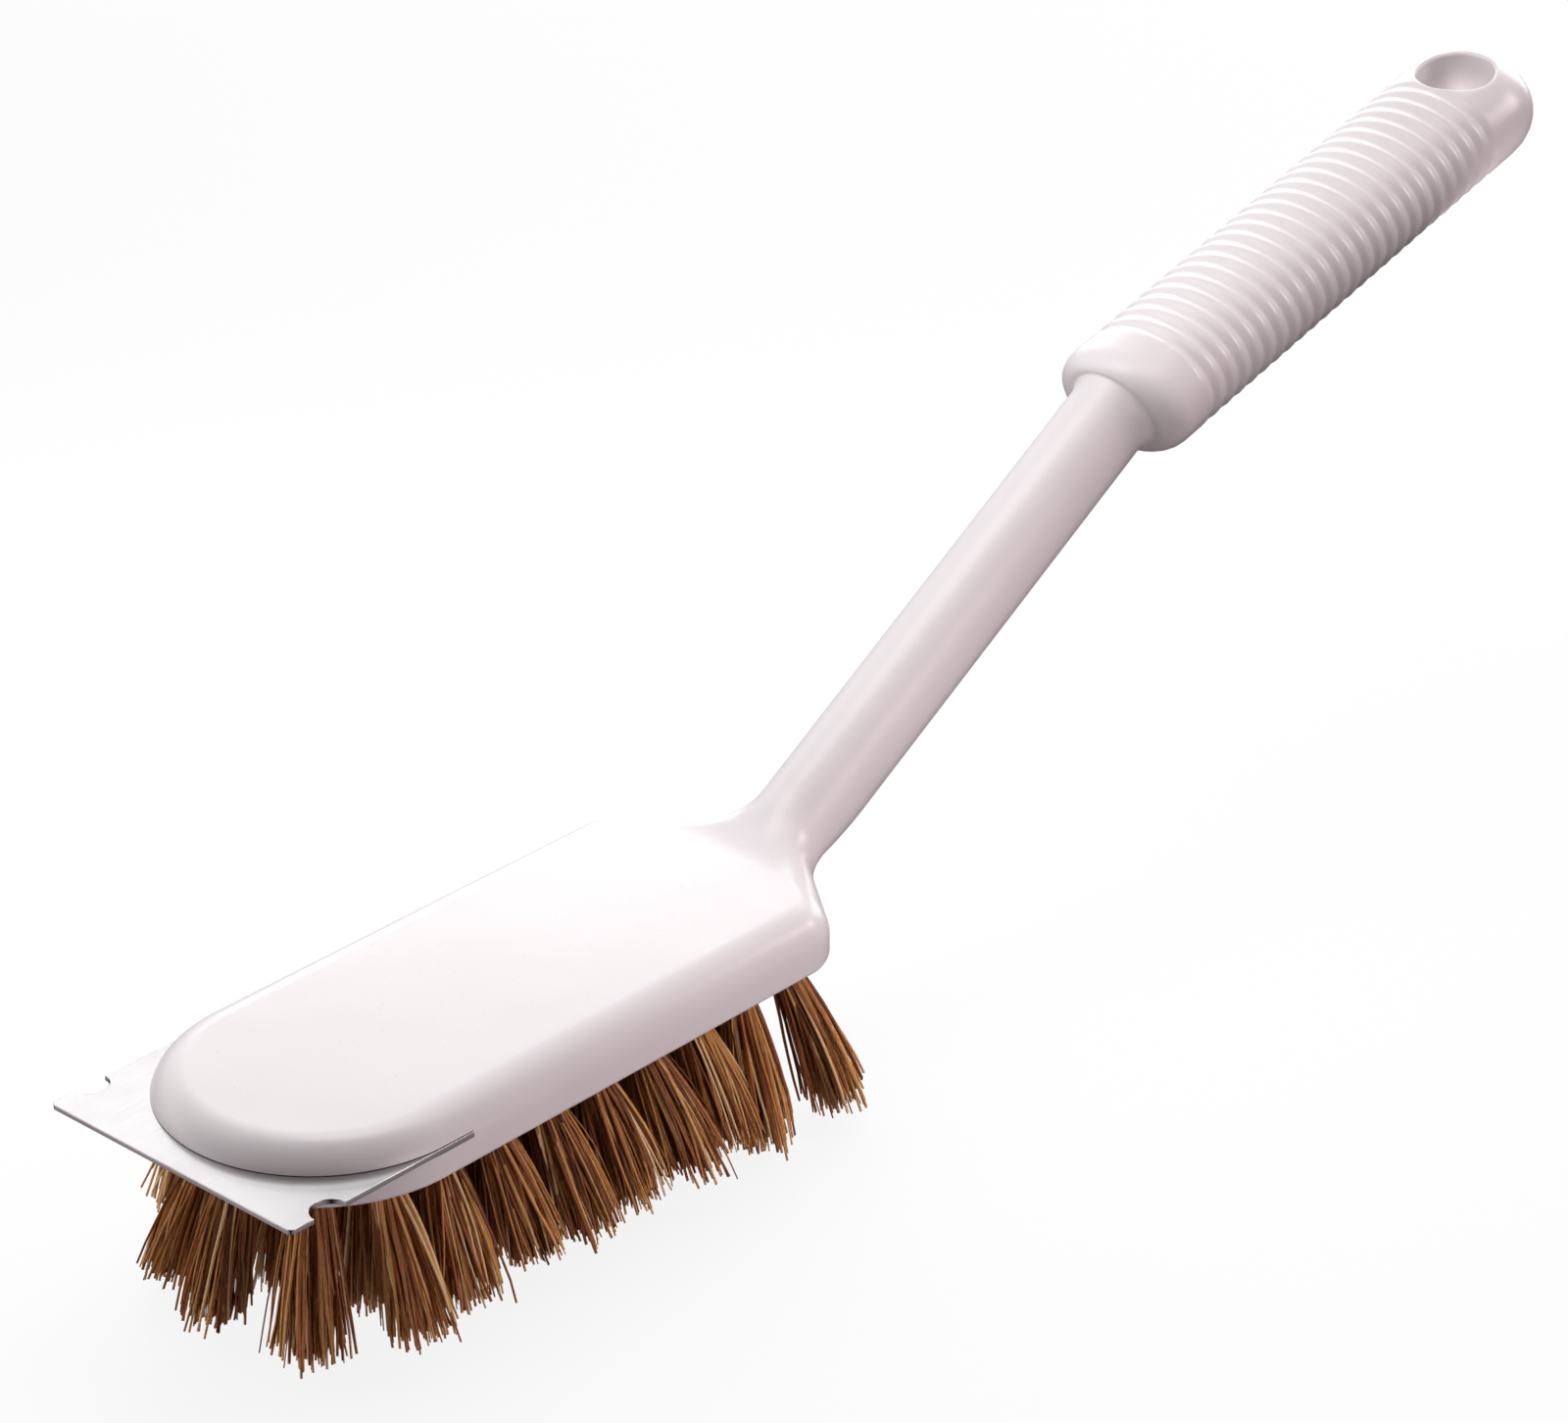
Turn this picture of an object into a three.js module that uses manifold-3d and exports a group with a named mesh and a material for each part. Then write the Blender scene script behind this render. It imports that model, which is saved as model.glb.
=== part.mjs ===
// Grill brush: a moulded body with a flat tufted head and a ribbed grip, a steel scraper blade held in the nose
// by two pins, and palm-fibre tufts, each folded over a wire anchor in its hole. Millimetres, +Z up. The length
// runs along X with the scraper at the -X end, and the trimmed fibre tips stand on z = 0.

import * as THREE from 'three';
import { mergeVertices } from 'three/addons/utils/BufferGeometryUtils.js';
import Module from 'manifold-3d';

const wasm = await Module();
wasm.setup();

const { degToRad, lerp, smoothstep } = THREE.MathUtils;

// Driving dimensions

const gap = 0.3; // clearance between neighbouring pieces

const headWidth = 60; // across the straight sides; the nose is a half circle of the same width
const headThickness = 11.3; // sole to top face
const sideLength = 92.5; // straight run of each side behind the nose
const topEdgeRadius = 6.5;
const soleEdgeRadius = 1.2;
const shoulderRadius = 10; // outer turn at the back of the head
const shoulderAngle = degToRad(52); // how far the back of the head turns in
const neckRadius = 13; // inner turn from the shoulder into the shank

const shankDiameter = 17;
const shankAngle = degToRad(30.5); // rise from the plane of the head
const shankLength = 113.7; // between the crossings of the head, shank and grip lines
const shankSetback = 21.5; // from the straight sides back to where the shank line leaves the head line
const bendRadius = 36;

const gripAngle = degToRad(15.3); // rise from the plane of the head
const gripLength = 129.5; // from the bend to the domed end
const gripWidth = 30.8;
const gripHeight = 22.6;
const collarRoot = 4; // length of the hollow turn from the shank up to the collar
const collarEdge = 5; // length of the rounded front edge of the collar
const collarShare = 0.25; // part of the step that the hollow turn climbs
const collarLength = 10.5; // smooth front of the grip, up to the first rib
const ribPitch = 4.04;
const ribDepth = 0.6;
const smoothEnd = 22; // plain back of the grip, behind the last rib
const domeLength = 15; // rounded part of the plain back
const hangHoleDiameter = 16;
const hangHoleInset = 14.5; // hole centre to the end of the grip

const bladeLength = 42;
const bladeThickness = 1;
const bladeReach = 5.6; // front edge ahead of the nose
const bladeHeight = 5.5; // underside above the sole
const bladeCornerRadius = 1.2;
const notchDiameter = 7; // takes one grill rod
const notchSetback = 8.7; // notch centre behind the front edge
const pinDiameter = 3;
const pinCover = 1.6; // plastic over the pin holes

const fibreLength = 32; // below the sole
const firstTuft = 10; // behind the nose
const tuftPitch = 12.4; // along a row
const rowCount = 5;
const rowInset = 7.6; // outer rows to the sides of the head
const tuftMargin = 5.9; // nearest that a tuft comes to the outline of the head
const tuftDiameter = 5.2;
const tuftCover = 3.4; // plastic over the tuft holes
const slotWeb = 0.5; // plastic left between a tuft hole and the blade slot
const foldThickness = 0.8; // fibres over the anchor
const anchorThickness = 0.5;
const anchorHeight = 1.3;
const anchorBite = 0.7; // reach of each end into the wall of the hole

const strandDiameter = 1;
const ringStrands = 8; // round one strand in the middle of each tuft
const fanOut = 2.8; // spread of a tuft from root to tip
const leanAlong = 1.06; // tufts lean outwards, along and across the head
const leanAcross = 1.28;
const tipDrag = 2.5; // all tips lie a little towards the grip
const noseSplay = 8; // extra outward lean round the nose
const tipTrim = 0.5; // cut off flat at the longest tips
const tipScatter = 2; // between the longest and the shortest strand
const soleRim = 2.4; // plain edge round the tufted part of the sole
const soleThickness = 1.3; // slice of sole that carries the strands

// Facets

const cornerSteps = 4;
const noseSteps = 16;
const shoulderSteps = 4;
const bendSteps = 6;
const collarSteps = 3;
const ribSteps = 4;
const domeSteps = 5;
const tuftSides = 6;
const strandSides = 3;
const roundSides = 24;
const pinSides = 12;

// Materials

const plastic = new THREE.MeshStandardMaterial({ color: 0xf5f3f4, roughness: 0.35, metalness: 0 });
const steel = new THREE.MeshStandardMaterial({ color: 0xc9c9c8, roughness: 0.3, metalness: 1 });
const wire = new THREE.MeshStandardMaterial({ color: 0xa8a6a2, roughness: 0.4, metalness: 1 });
const palmFibre = new THREE.MeshStandardMaterial({ color: 0x6f4522, roughness: 0.75, metalness: 0 });

// Places worked out from the driving dimensions, along the head from the tip of the nose and up from the sole

const noseRadius = headWidth / 2;
const sideEnd = noseRadius + sideLength;
const shankRadius = shankDiameter / 2;
const slotEnd = bladeLength - bladeReach + gap;
const slotFloor = bladeHeight - gap;
const slotRoof = bladeHeight + bladeThickness + gap;
const pocketRoof = soleThickness + gap;
const pinTop = headThickness - pinCover - gap;
const holeRadius = tuftDiameter / 2 + gap;
const rowPitch = (headWidth - 2 * rowInset) / (rowCount - 1);
const columnPitch = tuftPitch / 2; // neighbouring rows are staggered

const firstTangent = bendRadius * Math.tan(shankAngle / 2);
const secondTangent = bendRadius * Math.tan((shankAngle - gripAngle) / 2);
const firstBend = { start: sideEnd + shankSetback - firstTangent, turn: shankAngle };
const firstBendEnd = firstBend.start + bendRadius * shankAngle;
const shankRun = shankLength - firstTangent - secondTangent;
const secondBend = { start: firstBendEnd + shankRun, turn: gripAngle - shankAngle };
const gripStart = secondBend.start + (bendRadius * (shankAngle - gripAngle)) / 2;
const gripEnd = gripStart + gripLength;
const ribCount = Math.floor((gripLength - collarLength - smoothEnd) / ribPitch);

// Solids

// A closed three.js geometry as a solid that can be cut and joined.
function solidOf(geometry) {
  const bare = new THREE.BufferGeometry();
  bare.setAttribute('position', geometry.getAttribute('position'));
  bare.setIndex(geometry.index);
  const merged = mergeVertices(bare);
  const corners = Array.from(merged.index.array);
  const triVerts = [];
  for (let i = 0; i < corners.length; i += 3) {
    const [a, b, c] = corners.slice(i, i + 3);
    if (a !== b && b !== c && c !== a) triVerts.push(a, b, c);
  }
  const vertProperties = merged.getAttribute('position').array;
  return new wasm.Manifold(new wasm.Mesh({ numProp: 3, vertProperties, triVerts: new Uint32Array(triVerts) }));
}

function box(min, max) {
  const size = new THREE.Vector3().subVectors(max, min);
  const centre = new THREE.Vector3().addVectors(min, max).multiplyScalar(0.5);
  const geometry = new THREE.BoxGeometry(size.x, size.y, size.z);
  return solidOf(geometry.translate(centre.x, centre.y, centre.z));
}

// A round bar, or one with few sides, from one point to another.
function rod(from, to, radius, sides) {
  const along = new THREE.Vector3().subVectors(to, from);
  const geometry = new THREE.CylinderGeometry(radius, radius, along.length(), sides);
  const turn = new THREE.Quaternion().setFromUnitVectors(new THREE.Vector3(0, 1, 0), along.clone().normalize());
  const middle = new THREE.Vector3().addVectors(from, to).multiplyScalar(0.5);
  return solidOf(geometry.applyQuaternion(turn).translate(middle.x, middle.y, middle.z));
}

function plate(shape, bottom, thickness) {
  const settings = { depth: thickness, bevelEnabled: false, curveSegments: noseSteps };
  const geometry = new THREE.ExtrudeGeometry(shape, settings);
  return solidOf(geometry.translate(0, 0, bottom));
}

function join(solids) {
  return solids.reduce((whole, solid) => whole.add(solid));
}

function mesh(name, solid, material) {
  const { vertProperties, triVerts } = solid.getMesh();
  const geometry = new THREE.BufferGeometry();
  geometry.setAttribute('position', new THREE.BufferAttribute(vertProperties, 3));
  geometry.setIndex(new THREE.BufferAttribute(triVerts, 1));
  geometry.computeVertexNormals();
  const made = new THREE.Mesh(geometry, material);
  made.name = name;
  return made;
}

// Body: one half section, swept from the end of the grip along one side, round the nose and back along the other

// The spine lies in the middle plane: straight along the head, bent up into the shank, eased back into the grip.
function spineAt(distance) {
  const point = new THREE.Vector3(0, 0, headThickness / 2);
  let angle = 0;
  let passed = 0;
  const straight = (length) => {
    point.x += length * Math.cos(angle);
    point.z += length * Math.sin(angle);
  };
  for (const bend of [firstBend, secondBend]) {
    straight(Math.min(distance, bend.start) - passed);
    if (distance <= bend.start) return { point, angle };
    const side = Math.sign(bend.turn);
    const arc = Math.min(distance - bend.start, bendRadius * Math.abs(bend.turn));
    const next = angle + (side * arc) / bendRadius;
    point.x += side * bendRadius * (Math.sin(next) - Math.sin(angle));
    point.z += side * bendRadius * (Math.cos(angle) - Math.cos(next));
    angle = next;
    passed = bend.start + arc;
  }
  straight(distance - passed);
  return { point, angle };
}

// The places where the outline of the head turns: end of the shoulder arc, start and end of the neck arc.
const shoulderEnd = sideEnd + shoulderRadius * Math.sin(shoulderAngle);
const shoulderEndWidth = noseRadius - shoulderRadius * (1 - Math.cos(shoulderAngle));
const neckStartWidth = shankRadius + neckRadius * (1 - Math.cos(shoulderAngle));
const neckStart = shoulderEnd + (shoulderEndWidth - neckStartWidth) / Math.tan(shoulderAngle);
const neckEnd = neckStart + neckRadius * Math.sin(shoulderAngle);
const neckDelay = shoulderRadius; // the underside thickens this much later than the top, so the sole stays flat

// A section of head or neck: its corners open out until the section is the full round of the shank.
function headStation(distance, halfWidth) {
  const rise = smoothstep(distance, shoulderEnd, neckEnd);
  const drop = smoothstep(distance, shoulderEnd + neckDelay, neckEnd + neckDelay);
  const above = lerp(headThickness / 2, shankRadius, rise);
  const below = lerp(headThickness / 2, shankRadius, drop);
  return { distance, halfWidth, above, below, round: smoothstep(distance, sideEnd, neckEnd) };
}

// A full oval section, part of the way from the shank to the grip, or shrunk to the end of the dome.
function gripStation(distance, share, inset = 0, scale = 1) {
  const halfWidth = (lerp(shankRadius, gripWidth / 2, share) - inset) * scale;
  const halfHeight = (lerp(shankRadius, gripHeight / 2, share) - inset) * scale;
  return { distance, halfWidth, above: halfHeight, below: halfHeight, round: 1 };
}

function steps(count) {
  return Array.from({ length: count }, (_, i) => (i + 1) / count);
}

function bodyStations() {
  const stations = [headStation(noseRadius, noseRadius), headStation(sideEnd, noseRadius)];
  for (const t of steps(shoulderSteps)) {
    const turn = t * shoulderAngle;
    const halfWidth = noseRadius - shoulderRadius * (1 - Math.cos(turn));
    stations.push(headStation(sideEnd + shoulderRadius * Math.sin(turn), halfWidth));
  }
  for (const t of steps(shoulderSteps)) {
    stations.push(headStation(lerp(shoulderEnd, neckStart, t), lerp(shoulderEndWidth, neckStartWidth, t)));
  }
  for (const t of steps(shoulderSteps)) {
    const turn = (1 - t) * shoulderAngle;
    const halfWidth = shankRadius + neckRadius * (1 - Math.cos(turn));
    stations.push(headStation(neckEnd - neckRadius * Math.sin(turn), halfWidth));
  }
  const shankStart = neckEnd + neckDelay;
  for (const t of steps(bendSteps)) {
    stations.push(headStation(lerp(neckEnd, shankStart, t), shankRadius));
  }
  const collarStart = gripStart - collarRoot;
  stations.push(gripStation(secondBend.start - collarRoot, 0));
  stations.push(gripStation(collarStart, 0));
  for (const t of steps(collarSteps)) {
    const turn = (t * Math.PI) / 2;
    stations.push(gripStation(collarStart + collarRoot * Math.sin(turn), collarShare * (1 - Math.cos(turn))));
  }
  for (const t of steps(collarSteps)) {
    const turn = (t * Math.PI) / 2;
    const share = lerp(collarShare, 1, Math.sin(turn));
    stations.push(gripStation(gripStart + collarEdge * (1 - Math.cos(turn)), share));
  }
  const firstRib = gripStart + collarLength;
  stations.push(gripStation(firstRib, 1));
  for (const t of steps(ribCount * ribSteps)) {
    const wave = (1 - Math.cos(2 * Math.PI * ribCount * t)) / 2;
    stations.push(gripStation(firstRib + ribCount * ribPitch * t, 1, ribDepth * wave));
  }
  const domeStart = gripEnd - domeLength;
  stations.push(gripStation(domeStart, 1));
  for (const t of steps(domeSteps)) {
    const turn = (t * Math.PI) / 2;
    stations.push(gripStation(domeStart + domeLength * Math.sin(turn), 1, 0, t < 1 ? Math.cos(turn) : 0));
  }
  return stations;
}

// Points of a half section from the middle of the underside to the middle of the top, pushed out sideways.
function halfSection({ distance, halfWidth, above, below, round }, outward) {
  const { point, angle } = spineAt(distance);
  const up = new THREE.Vector3(-Math.sin(angle), 0, Math.cos(angle));
  const place = (across, height) => point.clone().addScaledVector(outward, across).addScaledVector(up, height);
  const soleAcross = lerp(soleEdgeRadius, halfWidth, round);
  const soleUp = lerp(soleEdgeRadius, below, round);
  const topAcross = lerp(topEdgeRadius, halfWidth, round);
  const topUp = lerp(topEdgeRadius, above, round);
  const points = [place(0, -below)];
  for (const t of [0, ...steps(cornerSteps)]) {
    const turn = (t * Math.PI) / 2;
    points.push(place(halfWidth - soleAcross * (1 - Math.sin(turn)), -below + soleUp * (1 - Math.cos(turn))));
  }
  for (const t of [0, ...steps(cornerSteps)]) {
    const turn = (t * Math.PI) / 2;
    points.push(place(halfWidth - topAcross * (1 - Math.cos(turn)), above - topUp * (1 - Math.sin(turn))));
  }
  points.push(place(0, above));
  return points;
}

// A skin over rows of points, which closes where the points of its edges meet.
function loft(rows) {
  const across = rows[0].length;
  const geometry = new THREE.BufferGeometry().setFromPoints(rows.flat());
  const index = [];
  for (let i = 0; i + 1 < rows.length; i++) {
    for (let j = 0; j + 1 < across; j++) {
      const a = i * across + j;
      const b = a + across;
      index.push(a, b, b + 1, a, b + 1, a + 1);
    }
  }
  geometry.setIndex(index);
  return geometry;
}

function bodyBlank() {
  const stations = bodyStations();
  const left = new THREE.Vector3(0, 1, 0);
  const right = new THREE.Vector3(0, -1, 0);
  const rows = stations.toReversed().map((station) => halfSection(station, left));
  for (const t of steps(noseSteps).slice(0, -1)) {
    const turn = Math.PI * (0.5 + t);
    rows.push(halfSection(stations[0], new THREE.Vector3(Math.cos(turn), Math.sin(turn), 0)));
  }
  rows.push(...stations.map((station) => halfSection(station, right)));
  return solidOf(loft(rows));
}

// Tufts: staggered rows, kept a margin inside the outline of the head

function insideHead(x, y) {
  const reach = noseRadius - tuftMargin;
  return Math.abs(y) <= reach && x <= sideEnd && (x >= noseRadius || Math.hypot(x - noseRadius, y) <= reach);
}

function tuftField() {
  const tufts = [];
  for (let row = 0; row < rowCount; row++) {
    const y = (row - (rowCount - 1) / 2) * rowPitch;
    for (let column = row % 2; firstTuft + column * columnPitch <= sideEnd; column += 2) {
      const x = firstTuft + column * columnPitch;
      const underSlot = x < slotEnd + tuftMargin;
      const depth = underSlot ? slotFloor - slotWeb : headThickness - tuftCover;
      if (insideHead(x, y)) tufts.push({ x, y, column, depth });
    }
  }
  return tufts;
}

const tufts = tuftField();
const fieldMiddle = (noseRadius + sideEnd) / 2;
const lastColumn = Math.max(...tufts.map((tuft) => tuft.column));
const soleEnd = firstTuft + lastColumn * columnPitch + tuftMargin;

// The tufted sole is cut in four, between two columns and beside the middle row.
const lengthCut = firstTuft + (Math.ceil((lastColumn + 1) / 2) - 0.5) * columnPitch;
const widthCut = ((rowCount % 2) * rowPitch) / 2;
const quarters = [
  { name: 'bristles_front_left', rear: false, left: true },
  { name: 'bristles_front_right', rear: false, left: false },
  { name: 'bristles_rear_left', rear: true, left: true },
  { name: 'bristles_rear_right', rear: true, left: false },
];

// The slot in a fold where the anchor lies, widened by a clearance for the fold and for the groove in the body.
function anchorBox({ x, y, depth }, clearance) {
  const halfLength = holeRadius + anchorBite + clearance;
  const halfThickness = anchorThickness / 2 + clearance;
  const top = depth - gap - foldThickness - gap;
  const min = new THREE.Vector3(x - halfLength, y - halfThickness, top - anchorHeight - clearance);
  return box(min, new THREE.Vector3(x + halfLength, y + halfThickness, top + clearance));
}

function tuftBar({ x, y }, radius, bottom, top) {
  return rod(new THREE.Vector3(x, y, bottom), new THREE.Vector3(x, y, top), radius, tuftSides);
}

// Outline of the tufted part of the sole: round at the nose, with the corners of the shoulders at the back.
function soleOutline(inset) {
  const halfWidth = noseRadius - inset;
  const cornerX = soleEnd - shoulderRadius;
  const corner = shoulderRadius - (inset - soleRim);
  const shape = new THREE.Shape();
  shape.moveTo(noseRadius, halfWidth);
  shape.absarc(noseRadius, 0, halfWidth, Math.PI / 2, 1.5 * Math.PI, false);
  shape.absarc(cornerX, -halfWidth + corner, corner, 1.5 * Math.PI, 2 * Math.PI, false);
  shape.absarc(cornerX, halfWidth - corner, corner, 0, Math.PI / 2, false);
  shape.closePath();
  return shape;
}

// Blade

const bladeFront = -bladeReach;
const pinPlaces = [
  { name: 'blade_pin_left', x: firstTuft + tuftPitch, y: (2 / 3) * rowPitch },
  { name: 'blade_pin_right', x: firstTuft + tuftPitch, y: (-2 / 3) * rowPitch },
];

function bladeOutline() {
  const side = headWidth / 2;
  const back = bladeFront + bladeLength;
  const notchX = bladeFront + notchSetback;
  const notchRadius = notchDiameter / 2;
  const corner = bladeCornerRadius;
  const shape = new THREE.Shape();
  shape.moveTo(back, -side);
  shape.lineTo(back, side);
  shape.absarc(notchX, side, notchRadius, 0, -Math.PI, true);
  shape.absarc(bladeFront + corner, side - corner, corner, Math.PI / 2, Math.PI, false);
  shape.absarc(bladeFront + corner, -side + corner, corner, Math.PI, 1.5 * Math.PI, false);
  shape.absarc(notchX, -side, notchRadius, Math.PI, 0, true);
  shape.closePath();
  return shape;
}

function bladePin({ x, y }, clearance, bottom, top) {
  const radius = pinDiameter / 2 + clearance;
  return rod(new THREE.Vector3(x, y, bottom), new THREE.Vector3(x, y, top), radius, pinSides);
}

function blade() {
  const pinHoles = pinPlaces.map((pin) => bladePin(pin, gap, slotFloor, slotRoof));
  return plate(bladeOutline(), bladeHeight, bladeThickness).subtract(join(pinHoles));
}

// Body with its blade slot, sole pocket, tuft holes, anchor grooves, pin holes and hang hole

function hangHole() {
  const { point, angle } = spineAt(gripEnd - hangHoleInset);
  const up = new THREE.Vector3(-Math.sin(angle), 0, Math.cos(angle)).multiplyScalar(gripHeight);
  const bottom = point.clone().sub(up);
  return rod(bottom, point.clone().add(up), hangHoleDiameter / 2, roundSides);
}

function body() {
  const slotStart = new THREE.Vector3(-headWidth, -headWidth, slotFloor);
  const cuts = [box(slotStart, new THREE.Vector3(slotEnd, headWidth, slotRoof))];
  cuts.push(plate(soleOutline(soleRim), -soleThickness, soleThickness + pocketRoof));
  for (const tuft of tufts) {
    cuts.push(tuftBar(tuft, holeRadius, -soleThickness, tuft.depth));
    cuts.push(anchorBox(tuft, gap));
  }
  cuts.push(...pinPlaces.map((pin) => bladePin(pin, gap, soleThickness, pinTop + gap)));
  cuts.push(hangHole());
  return bodyBlank().subtract(join(cuts));
}

// Bristles: a slice of sole, the folded roots above it and the fanned strands below it

function strands(tuft) {
  const outward = new THREE.Vector2(Math.min(tuft.x - noseRadius, 0), tuft.y).normalize();
  const splay = noseSplay * smoothstep(noseRadius - tuft.x, noseRadius / 6, noseRadius / 2);
  const tip = new THREE.Vector2(lerp(fieldMiddle, tuft.x, leanAlong) + tipDrag, tuft.y * leanAcross);
  tip.addScaledVector(outward, splay);
  const side = tuft.y < 0 ? -1 : 1; // the two sides of the head mirror each other
  const ring = tuftDiameter / 2 - strandDiameter;
  const made = [];
  for (let i = 0; i <= ringStrands; i++) {
    const turn = (2 * Math.PI * (i + tuft.column / 2)) / ringStrands;
    const out = i < ringStrands ? ring : 0;
    const aside = new THREE.Vector2(Math.cos(turn), side * Math.sin(turn)).multiplyScalar(out);
    const scatter = ((7 * i + 3 * tuft.column) % 5) / 4;
    const root = new THREE.Vector3(tuft.x + aside.x, tuft.y + aside.y, soleThickness / 2);
    const low = tipScatter * scatter - fibreLength - tipTrim;
    const end = new THREE.Vector3(tip.x + aside.x * fanOut, tip.y + aside.y * fanOut, low);
    made.push(rod(root, end, strandDiameter / 2, strandSides));
  }
  return made;
}

function bristles({ rear, left }) {
  const min = new THREE.Vector3(-headWidth, -headWidth, -soleThickness);
  const max = new THREE.Vector3(soleEnd, headWidth, 2 * soleThickness);
  if (rear) min.x = lengthCut + gap / 2;
  else max.x = lengthCut - gap / 2;
  if (left) min.y = widthCut + gap / 2;
  else max.y = widthCut - gap / 2;
  const backing = plate(soleOutline(soleRim + gap), 0, soleThickness).intersect(box(min, max));
  const own = tufts.filter(({ x, y }) => x > lengthCut === rear && y > widthCut === left);
  const folds = own.map((tuft) => tuftBar(tuft, tuftDiameter / 2, soleThickness / 2, tuft.depth - gap));
  const slots = own.map((tuft) => anchorBox(tuft, gap));
  const fibres = own.flatMap(strands);
  const floor = new THREE.Vector3(-headWidth, -headWidth, -2 * fibreLength);
  const trim = box(floor, new THREE.Vector3(soleEnd + headWidth, headWidth, -fibreLength));
  return join([backing, ...folds]).subtract(join(slots)).add(join(fibres)).subtract(trim);
}

// Assembly, set down with the middle of the length over the origin

const brush = new THREE.Group();
brush.add(mesh('brush_body', body(), plastic));
brush.add(mesh('scraper_blade', blade(), steel));
for (const pin of pinPlaces) {
  brush.add(mesh(pin.name, bladePin(pin, 0, pocketRoof, pinTop), wire));
}
for (const quarter of quarters) {
  brush.add(mesh(quarter.name, bristles(quarter), palmFibre));
}
tufts.forEach((tuft, i) => {
  brush.add(mesh(`tuft_anchor_${String(i + 1).padStart(2, '0')}`, anchorBox(tuft, 0), wire));
});

const bounds = new THREE.Box3().setFromObject(brush);
const middle = bounds.getCenter(new THREE.Vector3());
brush.position.set(-middle.x, 0, -bounds.min.z);

const grillBrush = new THREE.Group();
grillBrush.add(brush);

export default grillBrush;
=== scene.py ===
import math
import random

import bmesh
import bpy
from bpy.props import FloatProperty, FloatVectorProperty, IntProperty, PointerProperty
from bpy.types import Operator, Panel, PropertyGroup
from mathutils import Matrix, Vector


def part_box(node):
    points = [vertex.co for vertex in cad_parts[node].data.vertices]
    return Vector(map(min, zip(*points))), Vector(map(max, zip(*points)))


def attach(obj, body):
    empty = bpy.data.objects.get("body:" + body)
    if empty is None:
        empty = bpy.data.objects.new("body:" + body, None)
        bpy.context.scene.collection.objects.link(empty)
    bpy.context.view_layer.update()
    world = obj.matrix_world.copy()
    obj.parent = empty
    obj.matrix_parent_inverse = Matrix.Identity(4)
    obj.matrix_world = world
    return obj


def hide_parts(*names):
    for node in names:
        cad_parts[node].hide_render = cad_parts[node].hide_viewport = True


bl_info = {
    "name": "Grill brush",
    "version": (1, 0, 0),
    "blender": (4, 5, 0),
    "location": "3D View > Sidebar > Grill brush",
    "description": "Moulded body, scraper blade and palm-fibre tufts of a grill brush",
    "category": "Object",
}

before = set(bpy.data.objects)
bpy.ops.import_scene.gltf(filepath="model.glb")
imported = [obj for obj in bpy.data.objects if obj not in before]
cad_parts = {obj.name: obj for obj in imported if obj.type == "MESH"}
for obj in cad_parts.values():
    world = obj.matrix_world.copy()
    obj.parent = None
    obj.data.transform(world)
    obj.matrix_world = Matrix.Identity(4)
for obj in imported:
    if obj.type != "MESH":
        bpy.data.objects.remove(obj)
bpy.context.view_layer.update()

# The tip of the nose and the sole, from which all places on the head are counted.
NOSE_AND_SOLE = Vector((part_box("brush_body")[0].x, 0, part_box("brush_body")[0].z))

# Points nearer than this are one point.
WELD = 2e-6

# Air round the pins and past the end of the blade.
FITTING_GAP = 0.0003

# Narrow flat beside each rounded edge, for even shading.
EDGE_STRIP = 0.0006

# Last stretch of the straight shank that has sections of its own.
SHANK_RUN_IN = 0.02

# Ribs from a plain wave (0) to half rounds with a sharp groove (1).
RIB_ROUNDNESS = 0.45

# Steps in which the runs and turns of the body are made.
SIDE_STEPS = 8
NOSE_STEPS = 72
TURN_STEPS = 14
FLANK_STEPS = 10
NECK_STEPS = 18
RUN_IN_STEPS = 4
BEND_STEPS = 8
COLLAR_ROOT_STEPS = 10
RIB_STEPS = 14
DOME_STEPS = 28
SOLE_EDGE_STEPS = 10
TOP_EDGE_STEPS = 12

# Sides of the round holes, and steps in the rims and in the turns of the blade.
TUFT_HOLE_SIDES = 28
PIN_SIDES = 24
HANG_HOLE_SIDES = 96
RIM_STEPS = 6
NOTCH_STEPS = 28
CORNER_STEPS = 8

# Edges that turn by more degrees than this stay sharp.
BODY_EDGE_ANGLE = 35
BLADE_EDGE_ANGLE = 40

# Cutting shapes: slot past the nose and sides, tuft holes below the sole, bar through the grip.
SLOT_PAST = 0.05
HOLE_PAST = 0.005
HANG_HOLE_BAR = 0.06

# How far faces on the wall of the hang hole may lie off the round, and how far they may tilt.
WALL_MARGIN = 4e-5
WALL_TILT = 0.2

# Groove of a wire anchor: fibres folded over it, its height and half its width.
FOLD_COVER = 0.0011
GROOVE_HEIGHT = 0.0019
GROOVE_HALF_WIDTH = 0.00055

# Lower end of the pin holes, above the sole.
PIN_START = 0.0013

BLADE_ROUGHNESS = 0.16
WIRE_ROUGHNESS = 0.32


def length(label, description, millimetres):
    """A size in metres with its default given in millimetres."""
    return FloatProperty(name=label, description=description, default=millimetres / 1000, unit="LENGTH",
                         precision=4)


def angle(label, description, degrees):
    """An angle with its default given in degrees."""
    return FloatProperty(name=label, description=description, default=math.radians(degrees), subtype="ANGLE")


def share(label, description, default):
    """A plain number, such as a ratio."""
    return FloatProperty(name=label, description=description, default=default)


def count(label, description, default, least):
    """A whole number."""
    return IntProperty(name=label, description=description, default=default, min=least)


def colour(label, description, default):
    """A colour in scene-linear values."""
    return FloatVectorProperty(name=label, description=description, default=default, subtype="COLOR", size=3,
                               min=0, max=1)


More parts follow.
